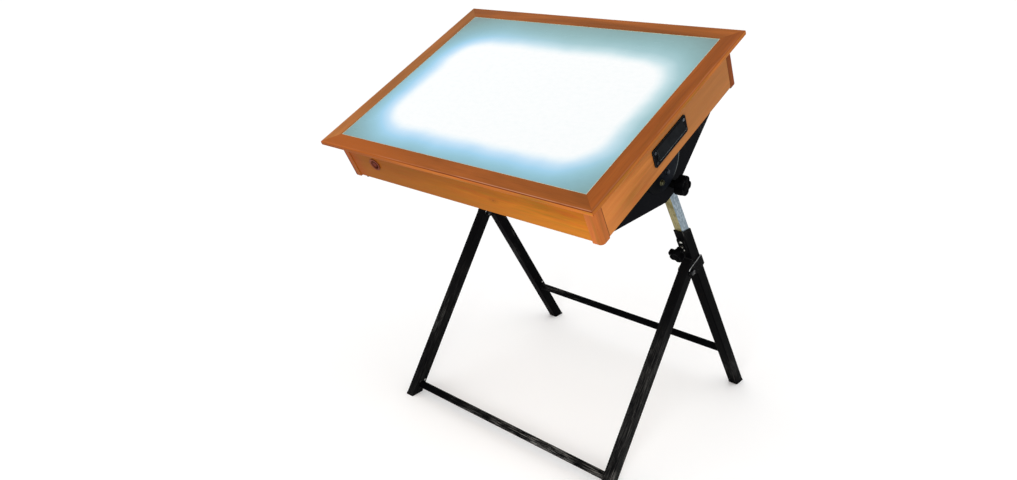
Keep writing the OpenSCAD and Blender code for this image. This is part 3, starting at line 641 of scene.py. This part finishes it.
def wood_materials():
    made = {}
    for i, (side, tones) in enumerate(RIM_TOP_SHADES.items()):
        grain = "X" if side in ("front", "rear") else "Y"
        rail = Board(f"rim_wood_{side}", grain, RIM_EDGE, (0.37 * i, 0.21 * i + 0.1, 0.13 * i))
        rail.rim(tones, side)
        made[f"rim_rail_{side}"] = rail
    made["apron_front"] = Board("apron_wood_front", "X", FRONT_APRON, (0.2, 0.4, 0.33))
    made["apron_rear"] = Board("apron_wood_rear", "X", REAR_APRON, (1.7, 0.8, 0.2))
    made["side_board_right"] = Board("side_wood_right", "Y", RIGHT_BOARD, (0.9, 2.1, 0.9),
                                     RIGHT_STREAKS)
    made["side_board_left"] = Board("side_wood_left", "Y", LEFT_BOARD, (0.6, 1.4, 0.5))
    for i, (corner, tones) in enumerate(POSTS.items()):
        made[f"corner_post_{corner}"] = Board(f"post_wood_{corner}", "Z", tones,
                                              (0.3 * i, 0.2 * i, 0.7 * i + 0.1), POST_STREAKS)
    # Painted light and shade along the boards
    for node, light_and_shade in LIGHT_AND_SHADE_ALONG.items():
        for settings in light_and_shade:
            made[node].shade_along(*settings)
    darken_far_end(made["rim_rail_front"])
    made["apron_front"].knot(KNOT_SPOT, KNOT_RADIUS)
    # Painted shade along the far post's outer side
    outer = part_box("corner_post_front_left")[0].x
    strip = [outer + inset for inset in POST_FAR_STRIP]
    made["corner_post_front_left"].shade_along("X", *strip, POST_FAR, POST_FAR_SHARE)
    for node, board in made.items():
        if node.startswith(("side_board", "corner_post")):
            board.seam()
    return {node: board.done() for node, board in made.items()}


# Where the rubbed streaks set in: up the front legs, and along the front brace
STREAK_HEIGHTS = (400 * MM, 300 * MM)
BRACE_STREAKS = (-240 * MM, 100 * MM)

# How worn the enamel is, and the tones that differ from its own
FRONT_LEG_WEAR = {"left": 0.3, "right": 0.98}
REAR_LEG_WEAR = 0.2
SLEEVE_WEAR = 0.55
FRONT_BRACE_WEAR = 1.2
REAR_BRACE_WEAR = 0.4
CLAMP_WEAR = 0.6
BRACKET_WEAR = 0.25
FRONT_LEG_TONE = (10, 10, 11)
REAR_LEG_TONES = {"left": (4, 4, 5), "right": (1, 1, 2)}
BRACKET_TONE = (10, 11, 14)


def stand_materials():
    made = {}
    for side in ("left", "right"):
        made[f"front_leg_{side}"] = black_paint(
            f"paint_front_leg_{side}", "front_leg", FRONT_LEG_WEAR[side],
            tone=FRONT_LEG_TONE, fade_in=STREAK_HEIGHTS)
        made[f"rear_leg_{side}"] = black_paint(
            f"paint_rear_leg_{side}", "rear_leg", REAR_LEG_WEAR, tone=REAR_LEG_TONES[side])
        made[f"sleeve_{side}"] = black_paint(f"paint_sleeve_{side}", "rear_leg", SLEEVE_WEAR)
    made["front_brace"] = brace_paint("paint_front_brace", FRONT_BRACE_WEAR, BRACE_STREAKS)
    made["rear_brace"] = brace_paint("paint_rear_brace", REAR_BRACE_WEAR)
    made["clamp_plates"] = black_paint("paint_small_steel", "rear_leg", CLAMP_WEAR)
    made["fold_brackets"] = fold_bracket_paint()
    plate = black_paint("paint_bracket", "board", BRACKET_WEAR, tone=BRACKET_TONE)
    quadrant = quadrant_paint()
    for side in ("left", "right"):
        made[f"tilt_bracket_{side}"] = plate
        made[f"quadrant_{side}"] = quadrant
    return made


def quadrant_paint():
    """Blue-black enamel, blacker to the front, with a painted highlight of bare grey along the rear of
    the curved edge.
    """
    s = Shade("paint_quadrant")
    here = s.coords("board")
    _, y, z = s.split(here)
    along = s.minus(y, QUADRANT_MIDDLE[0])
    up = s.minus(z, QUADRANT_MIDDLE[1])
    far = s.radius(along, up)
    patch = s.noise(here, 22, 3, 0.6)
    cloud = s.fade(patch)
    texture = s.noise(here, 520, 3, 0.6)
    colour = s.mix(cloud, (14, 17, 22), (24, 27, 33))
    colour = s.tint(colour, texture, 0.55, 0.8, 0.5, (44, 48, 54))
    # Painted highlight along the rear of the curved edge
    rear_part = s.fade(along, 0.30 * QUADRANT_R, 0.62 * QUADRANT_R)
    arc = s.times(s.fade(far, QUADRANT_R - 2.2 * MM, QUADRANT_R - 1.2 * MM), rear_part)
    colour = s.mix(s.fade(along, 0.1 * QUADRANT_R, -0.5 * QUADRANT_R), colour, (8, 9, 11))
    lit_edge = s.times(arc, s.fade(patch, 0.34, 0.55, 0.5, 1.0))
    colour = s.mix(lit_edge, colour, (112, 118, 118))
    height = s.plus(s.times(texture, 0.5), s.times(lit_edge, -0.5))
    return s.done(colour, s.fade(texture, 0.3, 0.7, 0.34, 0.46), s.bump(height, 0.05, 0.5), shine=0.01)


def fold_bracket_paint():
    """Black enamel with a painted highlight of bright steel on the upper front edges of the cheeks."""
    s = Shade("paint_fold_bracket")
    here = s.coords("rear_leg")
    patch = s.noise(here, 40, 3, 0.6)
    texture = s.noise(here, 700, 3, 0.6)
    across, ahead, above = s.facing()
    # Painted highlight on the cheeks' thin upper front edges
    rim = s.fade(s.size(across), 0.40, 0.20)
    front = s.times(s.fade(ahead, -0.2, -0.6), s.fade(above, 0.35, 0.50))
    lit_edge = s.times(s.times(rim, front), s.fade(patch, 0.36, 0.5, 0.35, 1.0))
    speck = s.fade(texture, 0.62, 0.72, 0.0, 0.25)
    colour = s.mix(s.fade(patch, 0.35, 0.7), (4, 4, 5), (9, 9, 10))
    colour = s.mix(s.maths("MAXIMUM", lit_edge, speck), colour, (184, 186, 186))
    return s.done(colour, s.fade(texture, 0.3, 0.7, 0.38, 0.5), s.bump(texture, 0.05, 0.5), shine=0.006)


def brace_paint(name, wear, fade_in=None):
    """The same paint on a tube that runs left to right."""
    FRAMES[name] = Matrix.Rotation(pi / 2, 4, "Y")
    return black_paint(name, name, wear, fade_in=fade_in)


def small_part_materials():
    zinc = metal("zinc_fixings", (206, 206, 200), (150, 148, 140), 0.32, stain=(150, 124, 70))
    stud = metal("zinc_studs", (236, 234, 226), (176, 172, 160), 0.22)
    dark_zinc = metal("dark_fixings", (46, 48, 52), (20, 21, 24), 0.34, stain=(190, 192, 190),
                      stain_share=0.8)
    ballast = metal("ballast_case", (170, 172, 172), (128, 130, 132), 0.38)
    lamp_metal = metal("lamp_cap_metal", (206, 208, 210), (160, 162, 166), 0.28)
    handle = handle_enamel()
    rubber = moulded("foot_rubber_black", (12, 12, 12), 8, 0.62, grain=420, depth=0.1)
    nylon = moulded("gland_nylon", (16, 16, 18), 8, 0.44)
    brown = moulded("switch_flange_brown", (98, 44, 26), 16, 0.34, edge_scuff_and_highlight=(150, 92, 70), shine=0.03)
    enamelled = enamel("tray_white", (240, 240, 238), (204, 202, 194), 0.28)
    holder = enamel("holder_plastic", (232, 232, 226), (206, 204, 194), 0.4)
    tube = enamel("lamp_phosphor", (250, 252, 255), (232, 236, 240), 0.2, glow=0.8)
    # The opal sheet's glow is painted light from the lamps behind it
    opal = enamel("opal_sheet", (238, 244, 246), (220, 228, 230), 0.3, glow=0.4)
    cable = moulded("loom_pvc", (42, 42, 44), 14, 0.48)
    return {
        "glass_top": lit_glass(), "glazing_bead": bead_silicone(), "diffuser_sheet": opal,
        "bottom_panel": plywood(), "panel_screws": zinc, "reflector_tray": enamelled,
        "lamp_tubes": tube, "lamp_caps": lamp_metal, "lampholders": holder,
        "ballasts": ballast, "starters": holder, "wiring_loom": cable,
        "switch_body": brown, "cord_gland": nylon,
        "handle_left": handle, "handle_right": handle,
        "inner_tube_left": zinc_tube(), "inner_tube_right": zinc_tube(),
        "inner_tube_caps": rubber, "pivot_bolts": zinc, "friction_washers": dark_zinc,
        "height_stud_left": stud, "height_stud_right": stud, "clamp_rivets": zinc,
        "fold_bolts": dark_zinc, "front_feet": rubber, "rear_feet": rubber,
    }


def dress_nodes():
    made = {**wood_materials(), **stand_materials(), **small_part_materials()}
    for node, material in made.items():
        for place in NODES[node].material_slots:
            place.material = material


# ---- Softened edges on the CAD nodes ----

EDGE_RADII = {
    "rim_rail_": 0.35, "apron_": 0.5, "side_board_": 0.7, "corner_post_": 0.8,
    "bottom_panel": 0.3, "glass_top": 0.6, "handle_left": 0.7, "handle_right": 0.7,
    "switch_body": 0.5, "cord_gland": 0.5, "tilt_bracket_": 0.4, "quadrant_": 0.7,
    "clamp_plates": 0.5, "fold_brackets": 0.4, "fold_bolts": 0.6, "front_feet": 0.8,
    "rear_feet": 0.8, "inner_tube_caps": 0.6, "pivot_bolts": 0.5, "sleeve_": 0.3,
    "front_leg_": 0.3, "rear_leg_": 0.3, "inner_tube_left": 0.25, "inner_tube_right": 0.25,
    "ballasts": 0.8, "lampholders": 0.6, "starters": 0.6, "friction_washers": 0.4,
}
WELD_GAP = 1e-5
FLAT_ANGLE = radians(0.4)
SHARP_ANGLE = radians(32)


def soften(node, radius):
    """Rounds the sharp edges of a CAD node with modifiers; its own mesh stays as it is."""
    weld = node.modifiers.new("weld", "WELD")
    weld.merge_threshold = WELD_GAP
    flat = node.modifiers.new("flat", "DECIMATE")
    flat.decimate_type = "DISSOLVE"
    flat.angle_limit = FLAT_ANGLE
    bevel = node.modifiers.new("bevel", "BEVEL")
    bevel.width = radius
    bevel.segments = 2
    bevel.limit_method = "ANGLE"
    bevel.angle_limit = SHARP_ANGLE
    node.modifiers.new("normals", "WEIGHTED_NORMAL")


def soften_nodes():
    for start, radius in EDGE_RADII.items():
        for name, node in NODES.items():
            if name.startswith(start):
                soften(node, radius * MM)


# ---- Turned and lobed pieces ----

def in_scene(name, data):
    """A new object that holds data, linked into the scene."""
    made = bpy.data.objects.new(name, data)
    SCENE.collection.objects.link(made)
    return made


def hexagon(across_flats):
    """Radius of a hexagon at an angle."""
    def radius(angle):
        turn = (angle + pi / 6) % (pi / 3) - pi / 6
        return across_flats / 2 / cos(turn)
    return radius


def lobes(radius, depth, count):
    """A circle with count rounded flutes of that depth."""
    def out(angle):
        wave = 0.5 - 0.5 * cos(count * angle)
        return radius - depth * wave ** 2.2
    return out


def cross(reach, half_width):
    """A four-armed driver recess."""
    def radius(angle):
        turn = (angle + pi / 4) % (pi / 2) - pi / 4
        side = half_width / max(abs(sin(turn)), 1e-6)
        return min(side, reach / cos(turn), reach)
    return radius


class Build:
    """Collects rings of vertices into one mesh, in the row frame."""

    def __init__(self):
        self.points = []
        self.faces = []

    def turned(self, place, rings, segments=48):
        """Rings of (height, radius or radius function) along the Z of place, closed at both ends."""
        first = len(self.points)
        for height, outline in rings:
            for i in range(segments):
                angle = 2 * pi * i / segments
                r = outline(angle) if callable(outline) else outline
                self.points.append(place @ Vector((r * cos(angle), r * sin(angle), height)))
        for ring in range(len(rings) - 1):
            low = first + ring * segments
            for i in range(segments):
                j = (i + 1) % segments
                self.faces.append((low + i, low + j, low + segments + j, low + segments + i))
        for ring in (0, len(rings) - 1):
            centre = len(self.points)
            self.points.append(place @ Vector((0, 0, rings[ring][0])))
            low = first + ring * segments
            for i in range(segments):
                j = (i + 1) % segments
                pair = (low + i, low + j) if ring else (low + j, low + i)
                self.faces.append((*pair, centre))

    def bead(self, path, radius, rng):
        """A rippled weld bead along a closed path of points."""
        sides = 8
        first = len(self.points)
        count = len(path)
        for i, point in enumerate(path):
            tangent = (path[(i + 1) % count] - path[i - 1]).normalized()
            across = tangent.orthogonal().normalized()
            other = tangent.cross(across)
            r = radius * (1 + 0.22 * sin(i * 2.1) + 0.12 * rng.uniform(-1, 1))
            for k in range(sides):
                angle = 2 * pi * k / sides
                self.points.append(point + r * (cos(angle) * across + sin(angle) * other))
        for i in range(count):
            low = first + i * sides
            high = first + ((i + 1) % count) * sides
            for k in range(sides):
                j = (k + 1) % sides
                self.faces.append((low + k, low + j, high + j, high + k))

    def piece(self, name, material, body, smooth_angle=35):
        mesh = bpy.data.meshes.new(name)
        mesh.from_pydata(self.points, [], self.faces)
        mesh.materials.append(material)
        mesh.shade_smooth()
        mesh.set_sharp_from_angle(angle=radians(smooth_angle))
        made = in_scene(name, mesh)
        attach(made, body)
        return made


def axis_place(origin, axis, up=Vector((0, 0, 1))):
    """A frame at origin whose Z follows axis."""
    z = axis.normalized()
    x = up.cross(z)
    x = x.normalized() if x.length > 1e-6 else z.orthogonal().normalized()
    y = z.cross(x)
    turn = Matrix((x, y, z)).transposed().to_4x4()
    return Matrix.Translation(origin) @ turn


def span(node, origin, axis):
    """How far a node reaches along an axis, from origin."""
    reach = [(v.co - origin).dot(axis) for v in NODES[node].data.vertices]
    return min(reach), max(reach)


# ---- Knobs ----

KNOB_SIZES = {"tilt": (23 * MM, 20 * MM), "height": (20 * MM, 14 * MM)}
KNOB_LOBES = 5
KNOB_FLUTE = 4.8 * MM
HUB_R = 9 * MM


def knob_rings(hub, radius, head):
    """Star knob from its hub's face: hub, rounded lobed head, dished top and a raised cap."""
    def lobed(inset):
        return lobes(radius - inset, KNOB_FLUTE, KNOB_LOBES)
    top = hub + head
    dish = radius - 9 * MM
    rings = [(0, HUB_R - 0.6 * MM), (0.6 * MM, HUB_R),
             (hub - 1.5 * MM, HUB_R), (hub, HUB_R + 1.2 * MM)]
    rings += [(hub + 0.1 * MM, lobed(3.2 * MM)), (hub + 0.8 * MM, lobed(1.0 * MM)),
              (hub + 2.4 * MM, lobed(0)), (top - 4.5 * MM, lobed(0)),
              (top - 2.2 * MM, lobed(0.7 * MM)), (top - 0.8 * MM, lobed(2.2 * MM)),
              (top - 0.1 * MM, lobed(3.6 * MM)), (top, lobed(4.0 * MM))]
    rings += [(top - 0.5 * MM, dish), (top - 2.0 * MM, dish - 1.4 * MM),
              (top - 2.0 * MM, dish - 3.2 * MM), (top - 0.9 * MM, dish - 3.6 * MM),
              (top - 0.3 * MM, dish - 5.4 * MM), (top, dish - 8.0 * MM)]
    return rings


def make_knobs():
    plastic = moulded("knob_black", (3, 3, 4), 5, 0.36, grain=520, depth=0.06,
                      edge_scuff_and_highlight=(64, 64, 66), shine=0.004)
    for kind, (radius, head) in KNOB_SIZES.items():
        for side in ("left", "right"):
            node = f"{kind}_knob_{side}"
            origin, axis = knob_axis(kind, side)
            start, end = span(node, origin, axis)
            hub = (end - start) - head
            build = Build()
            place = axis_place(origin + axis * start, axis)
            build.turned(place, knob_rings(hub, radius, head), 16 * KNOB_LOBES)
            made = build.piece(f"star_{node}", plastic, node, 50)
            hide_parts(node)


def knob_axis(kind, side):
    joint = JOINTS[f"{kind}_knob_{side}_turn"]
    origin = Vector(joint["pos_m"])
    if kind == "tilt":
        outwards = 1 if side == "right" else -1
        return origin, Vector((outwards, 0, 0))
    return origin, SLEEVE_OUT


# ---- Screws and bolts ----

HANDLE_SCREWS = (56.5 * MM, 12 * MM)
STIFFENER_BOLTS = ((-25 * MM, -171 * MM), (0, -162 * MM))
STIFFENER_NUT = 10 * MM
WASHER = (7 * MM, 1.5 * MM)

# The screws through the flanges of the tilt brackets, and the plate that these are bent from
FLANGE_SCREWS = (-210 * MM, -100 * MM, 100 * MM, 210 * MM)
FLANGE_INSET = 16 * MM
FLANGE_DEPTH = -117.5 * MM
BRACKET_PLATE = 3 * MM


def screw_rings(radius, height, sink):
    """A domed screw head with a cross recess."""
    slot = cross(radius * 0.62, radius * 0.14)
    return [(0, radius * 0.97), (height * 0.25, radius),
            (height * 0.6, radius * 0.9), (height * 0.9, radius * 0.66),
            (height, slot), (height - sink, slot)]


def hex_rings(across, height):
    """A hexagon head or nut with a turned top chamfer and a slight dome."""
    return [(0, hexagon(across)), (height - 0.6 * MM, hexagon(across)),
            (height, across * 0.47), (height + 0.05 * MM, across * 0.2)]


def washer_rings(radius, height):
    return [(0, radius), (height * 0.7, radius),
            (height, radius - 0.3 * MM), (height, radius * 0.3)]


def make_handle_screws():
    bright = metal("handle_screw_lit", (112, 116, 122), (56, 60, 66), 0.28)
    dull = metal("handle_screw_shaded", (56, 58, 62), (26, 28, 32), 0.34)
    board = FRAMES["board"]
    # Painted light and shade: the upper screws take a lit copy of the material, the lower ones a shaded
    # copy
    for up, material, label in ((1, bright, "upper"), (-1, dull, "lower")):
        build = Build()
        for side in (-1, 1):
            for along in (-1, 1):
                spot = Vector((side * (HANDLE_FACE + HANDLE_PLATE),
                               HANDLE_MIDDLE[0] + along * HANDLE_SCREWS[0],
                               HANDLE_MIDDLE[1] + up * HANDLE_SCREWS[1]))
                place = axis_place(board @ spot, Vector((side, 0, 0)))
                build.turned(place, screw_rings(3.5 * MM, 1.6 * MM, 1.0 * MM), 32)
        made = build.piece(f"handle_screw_heads_{label}", material, "light_box")
        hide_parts("handle_screws")


def make_bracket_bolts():
    """Stiffener bolts with washers and nuts and flange screws; the bolts are olive in front and dark
    behind, lit and shaded copies of one bolt as painted light and shade.
    """
    olive = metal("stiffener_bolt_lit", (100, 98, 72), (46, 44, 32), 0.36)
    dark = metal("stiffener_bolt_dark", (52, 58, 66), (24, 27, 32), 0.36)
    board = FRAMES["board"]
    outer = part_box("quadrant_right")[1].x
    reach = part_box("tilt_bracket_right")[1].x
    pieces = []
    # Painted light and shade: the front bolts lit olive, the middle ones dark
    for (along, up), material, label in zip(STIFFENER_BOLTS, (olive, dark), ("front", "middle")):
        build = Build()
        for side in (-1, 1):
            out = axis_place(board @ Vector((side * outer, along, up)), Vector((side, 0, 0)))
            build.turned(out, washer_rings(*WASHER))
            head = out @ Matrix.Translation((0, 0, WASHER[1]))
            build.turned(head, hex_rings(STIFFENER_NUT, 3.4 * MM))
            back = axis_place(board @ Vector((side * (reach - BRACKET_PLATE), along, up)),
                              Vector((-side, 0, 0)))
            build.turned(back, hex_rings(STIFFENER_NUT, 4 * MM))
        pieces.append(build.piece(f"stiffener_bolts_{label}", material, "light_box"))
    build = Build()
    down = (board.to_3x3() @ Vector((0, 0, -1))).normalized()
    for side in (-1, 1):
        for along in FLANGE_SCREWS:
            spot = Vector((side * (reach - FLANGE_INSET), along, FLANGE_DEPTH))
            build.turned(axis_place(board @ spot, down, Vector((1, 0, 0))),
                         screw_rings(4.5 * MM, 2.4 * MM, 1.4 * MM), 32)
    pieces.append(build.piece("flange_screw_heads", dark, "light_box"))
    for made in pieces:
        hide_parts("bracket_fasteners")


# How far a brace screw is behind the leg's middle line, and above the middle of the brace
BRACE_SCREW = (8 * MM, 13.5 * MM)


def make_brace_screws():
    """A small pale screw in the inner face of each leg, just above the brace."""
    steel = metal("brace_screw_steel", (176, 176, 172), (120, 120, 118), 0.3)
    for end in ("front", "rear"):
        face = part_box(f"{end}_leg_right")[0].x
        build = Build()
        for side in (-1, 1):
            spot = FRAMES[f"{end}_leg"] @ Vector((side * face, *BRACE_SCREW))
            build.turned(axis_place(spot, Vector((-side, 0, 0))),
                         screw_rings(3.2 * MM, 1.4 * MM, 0.8 * MM), 32)
        build.piece(f"brace_screw_heads_{end}", steel, f"{end}_frame")


# The push button's cap and the base that it stands on
BUTTON_R = 7.5 * MM
BUTTON_BASE_R = 11 * MM


def button_red():
    """Dark red plastic, with painted shade on the base that fills the well round the cap."""
    s = Shade("switch_button_red")
    here = s.coords("board")
    x, _, z = s.split(here)
    centre = FRAMES["board"].inverted() @ middle("switch_button")
    far = s.radius(s.minus(x, centre.x), s.minus(z, centre.z))
    texture = s.noise(here, 700, 3, 0.6)
    colour = s.mix(s.fade(texture, 0.35, 0.75), (84, 26, 12), (102, 40, 26))
    # Painted shade in the well round the cap
    colour = s.mix(s.fade(far, BUTTON_R - 1.4 * MM, BUTTON_R - 0.4 * MM), colour, (34, 6, 2))
    return s.done(colour, s.fade(texture, 0.3, 0.7, 0.26, 0.36), s.bump(texture, 0.05, 0.5), shine=0.04)


def make_switch_button():
    """Red button with a stepped base and a slightly dished top, in the well of the flange."""
    joint = JOINTS["switch_press"]
    inwards = Vector(joint["axis"]).normalized()
    origin = middle("switch_button")
    start, end = span("switch_button", origin, -inwards)
    depth = end - start
    rings = [(0, BUTTON_BASE_R), (depth - 6.4 * MM, BUTTON_BASE_R),
             (depth - 6.2 * MM, 10.6 * MM), (depth - 6.2 * MM, BUTTON_R),
             (depth - 1.6 * MM, BUTTON_R), (depth - 0.6 * MM, 6.9 * MM),
             (depth - 0.1 * MM, 5.4 * MM), (depth, 4.0 * MM),
             (depth - 0.4 * MM, 2.4 * MM), (depth - 0.6 * MM, 1.0 * MM)]
    build = Build()
    build.turned(axis_place(origin - inwards * start, -inwards), rings)
    made = build.piece("push_button", button_red(), "switch_button")
    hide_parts("switch_button")


# ---- Weld beads ----

BEAD_R = 1.7 * MM
BEAD_STEP = 2.6 * MM
RING_POINTS = 44

# How far a brace's bead lies outside its tube, and from the tube's end
BEAD_OUT = 0.3 * MM
BEAD_IN = 0.6 * MM


def ring_path(centre, axis, radius):
    place = axis_place(centre, axis)
    turn = 2 * pi / RING_POINTS
    return [place @ Vector((radius * cos(i * turn), radius * sin(i * turn), 0))
            for i in range(RING_POINTS)]


def densify(corners):
    """Points along the straight runs of a closed outline."""
    path = []
    for start, end in zip(corners, corners[1:] + corners[:1]):
        parts = max(1, round((end - start).length / BEAD_STEP))
        path += [start.lerp(end, i / parts) for i in range(parts)]
    return path


def make_welds():
    steel = black_paint("paint_welds", "row", 0.5, tone=(13, 13, 14), gloss=0.30)
    rng = random.Random(SEED)
    for brace, body in (("front_brace", "front_frame"), ("rear_brace", "rear_frame")):
        lo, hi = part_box(brace)
        radius = (hi.z - lo.z) / 2 + BEAD_OUT
        build = Build()
        for x in (lo.x + BEAD_IN, hi.x - BEAD_IN):
            centre = Vector((x, (lo.y + hi.y) / 2, (lo.z + hi.z) / 2))
            build.bead(ring_path(centre, Vector((1, 0, 0)), radius), BEAD_R, rng)
        build.piece(f"weld_{brace}", steel, body)
    build = Build()
    for side in (-1, 1):
        build.bead(densify(leg_joint_outline(side)), BEAD_R, rng)
    build.piece("weld_sleeve_joint", steel, "front_frame")


def leg_joint_outline(side):
    """Where the top of a front leg meets the front face of its sleeve."""
    leg = FRAMES["front_leg"]
    on_face = middle("rear_brace") + SLEEVE_OUT * TUBE_D / 2
    up = (leg.to_3x3() @ Vector((0, 0, 1))).normalized()
    ends = []
    for depth in (-1, 1):
        start = leg @ Vector((0, depth * TUBE_D / 2, 0))
        start.x = 0
        reach = (on_face - start).dot(SLEEVE_OUT) / up.dot(SLEEVE_OUT)
        ends.append(start + up * reach)
    inner = side * (LEG_X - TUBE_W / 2)
    outer = side * (LEG_X + TUBE_W / 2)
    order = ((inner, 0), (outer, 0), (outer, 1), (inner, 1))
    return [Vector((x, ends[k].y, ends[k].z)) for x, k in order]


# ---- Studio ----

CAMERA_LENS = 28.89
CAMERA_AIM = Vector((0, -0.20008, 0.53314))
CAMERA_AZIMUTH = radians(41.8413)
CAMERA_HEIGHT = radians(21.4518)
CAMERA_ROLL = radians(-0.7231)
CAMERA_DISTANCE = 1.9377
CAMERA_REACH = 200
FLOOR_HALF = 40
FLOOR_GLOW = 0.045
KEY_PLACE = Vector((1.0, -1.9, 0.75))
KEY_AIM = Vector((0.1, -0.2, 0.65))
KEY_SIZE = 0.7
KEY_POWER = 16


def make_camera():
    data = bpy.data.cameras.new("camera")
    data.lens = CAMERA_LENS
    data.clip_end = CAMERA_REACH
    camera = in_scene("camera", data)
    back = Vector((sin(CAMERA_AZIMUTH) * cos(CAMERA_HEIGHT),
                   -cos(CAMERA_AZIMUTH) * cos(CAMERA_HEIGHT), sin(CAMERA_HEIGHT)))
    look = (-back).to_track_quat("-Z", "Y")
    camera.rotation_mode = "QUATERNION"
    camera.rotation_quaternion = look @ Matrix.Rotation(CAMERA_ROLL, 3, "Z").to_quaternion()
    camera.location = CAMERA_AIM + back * CAMERA_DISTANCE
    SCENE.camera = camera


def make_floor():
    s = Shade("studio_floor")
    here = s.coords()
    cloud = s.noise(here, 1.3)
    grit = s.noise(here, 300)
    colour = s.mix(s.fade(cloud), (252, 252, 252), (254, 254, 254))
    material = s.done(colour, s.fade(grit, 0.3, 0.7, 0.7, 0.8), s.bump(grit, 0.02, 0.2),
                      shine=0.1, Emission_Color=colour, Emission_Strength=FLOOR_GLOW)
    mesh = bpy.data.meshes.new("floor")
    corners = [(x * FLOOR_HALF, y * FLOOR_HALF, 0) for x, y in ((-1, -1), (1, -1), (1, 1), (-1, 1))]
    mesh.from_pydata(corners, [], [(0, 1, 2, 3)])
    mesh.materials.append(material)
    in_scene("floor", mesh)


def make_lights():
    world = bpy.data.worlds.new("studio")
    world.use_nodes = True
    sky = world.node_tree.nodes["Background"]
    sky.inputs["Color"].default_value = (1, 1, 1, 1)
    sky.inputs["Strength"].default_value = 1.0
    SCENE.world = world
    data = bpy.data.lights.new("key", "AREA")
    data.shape = "DISK"
    data.size = KEY_SIZE
    data.energy = KEY_POWER
    light = in_scene("key", data)
    light.location = KEY_PLACE
    light.rotation_mode = "QUATERNION"
    light.rotation_quaternion = (KEY_AIM - KEY_PLACE).to_track_quat("-Z", "Y")


SCENE.view_settings.view_transform = "Standard"
make_camera()
make_lights()
make_floor()
dress_nodes()
soften_nodes()
make_knobs()
make_handle_screws()
make_bracket_bolts()
make_brace_screws()
make_switch_button()
make_welds()
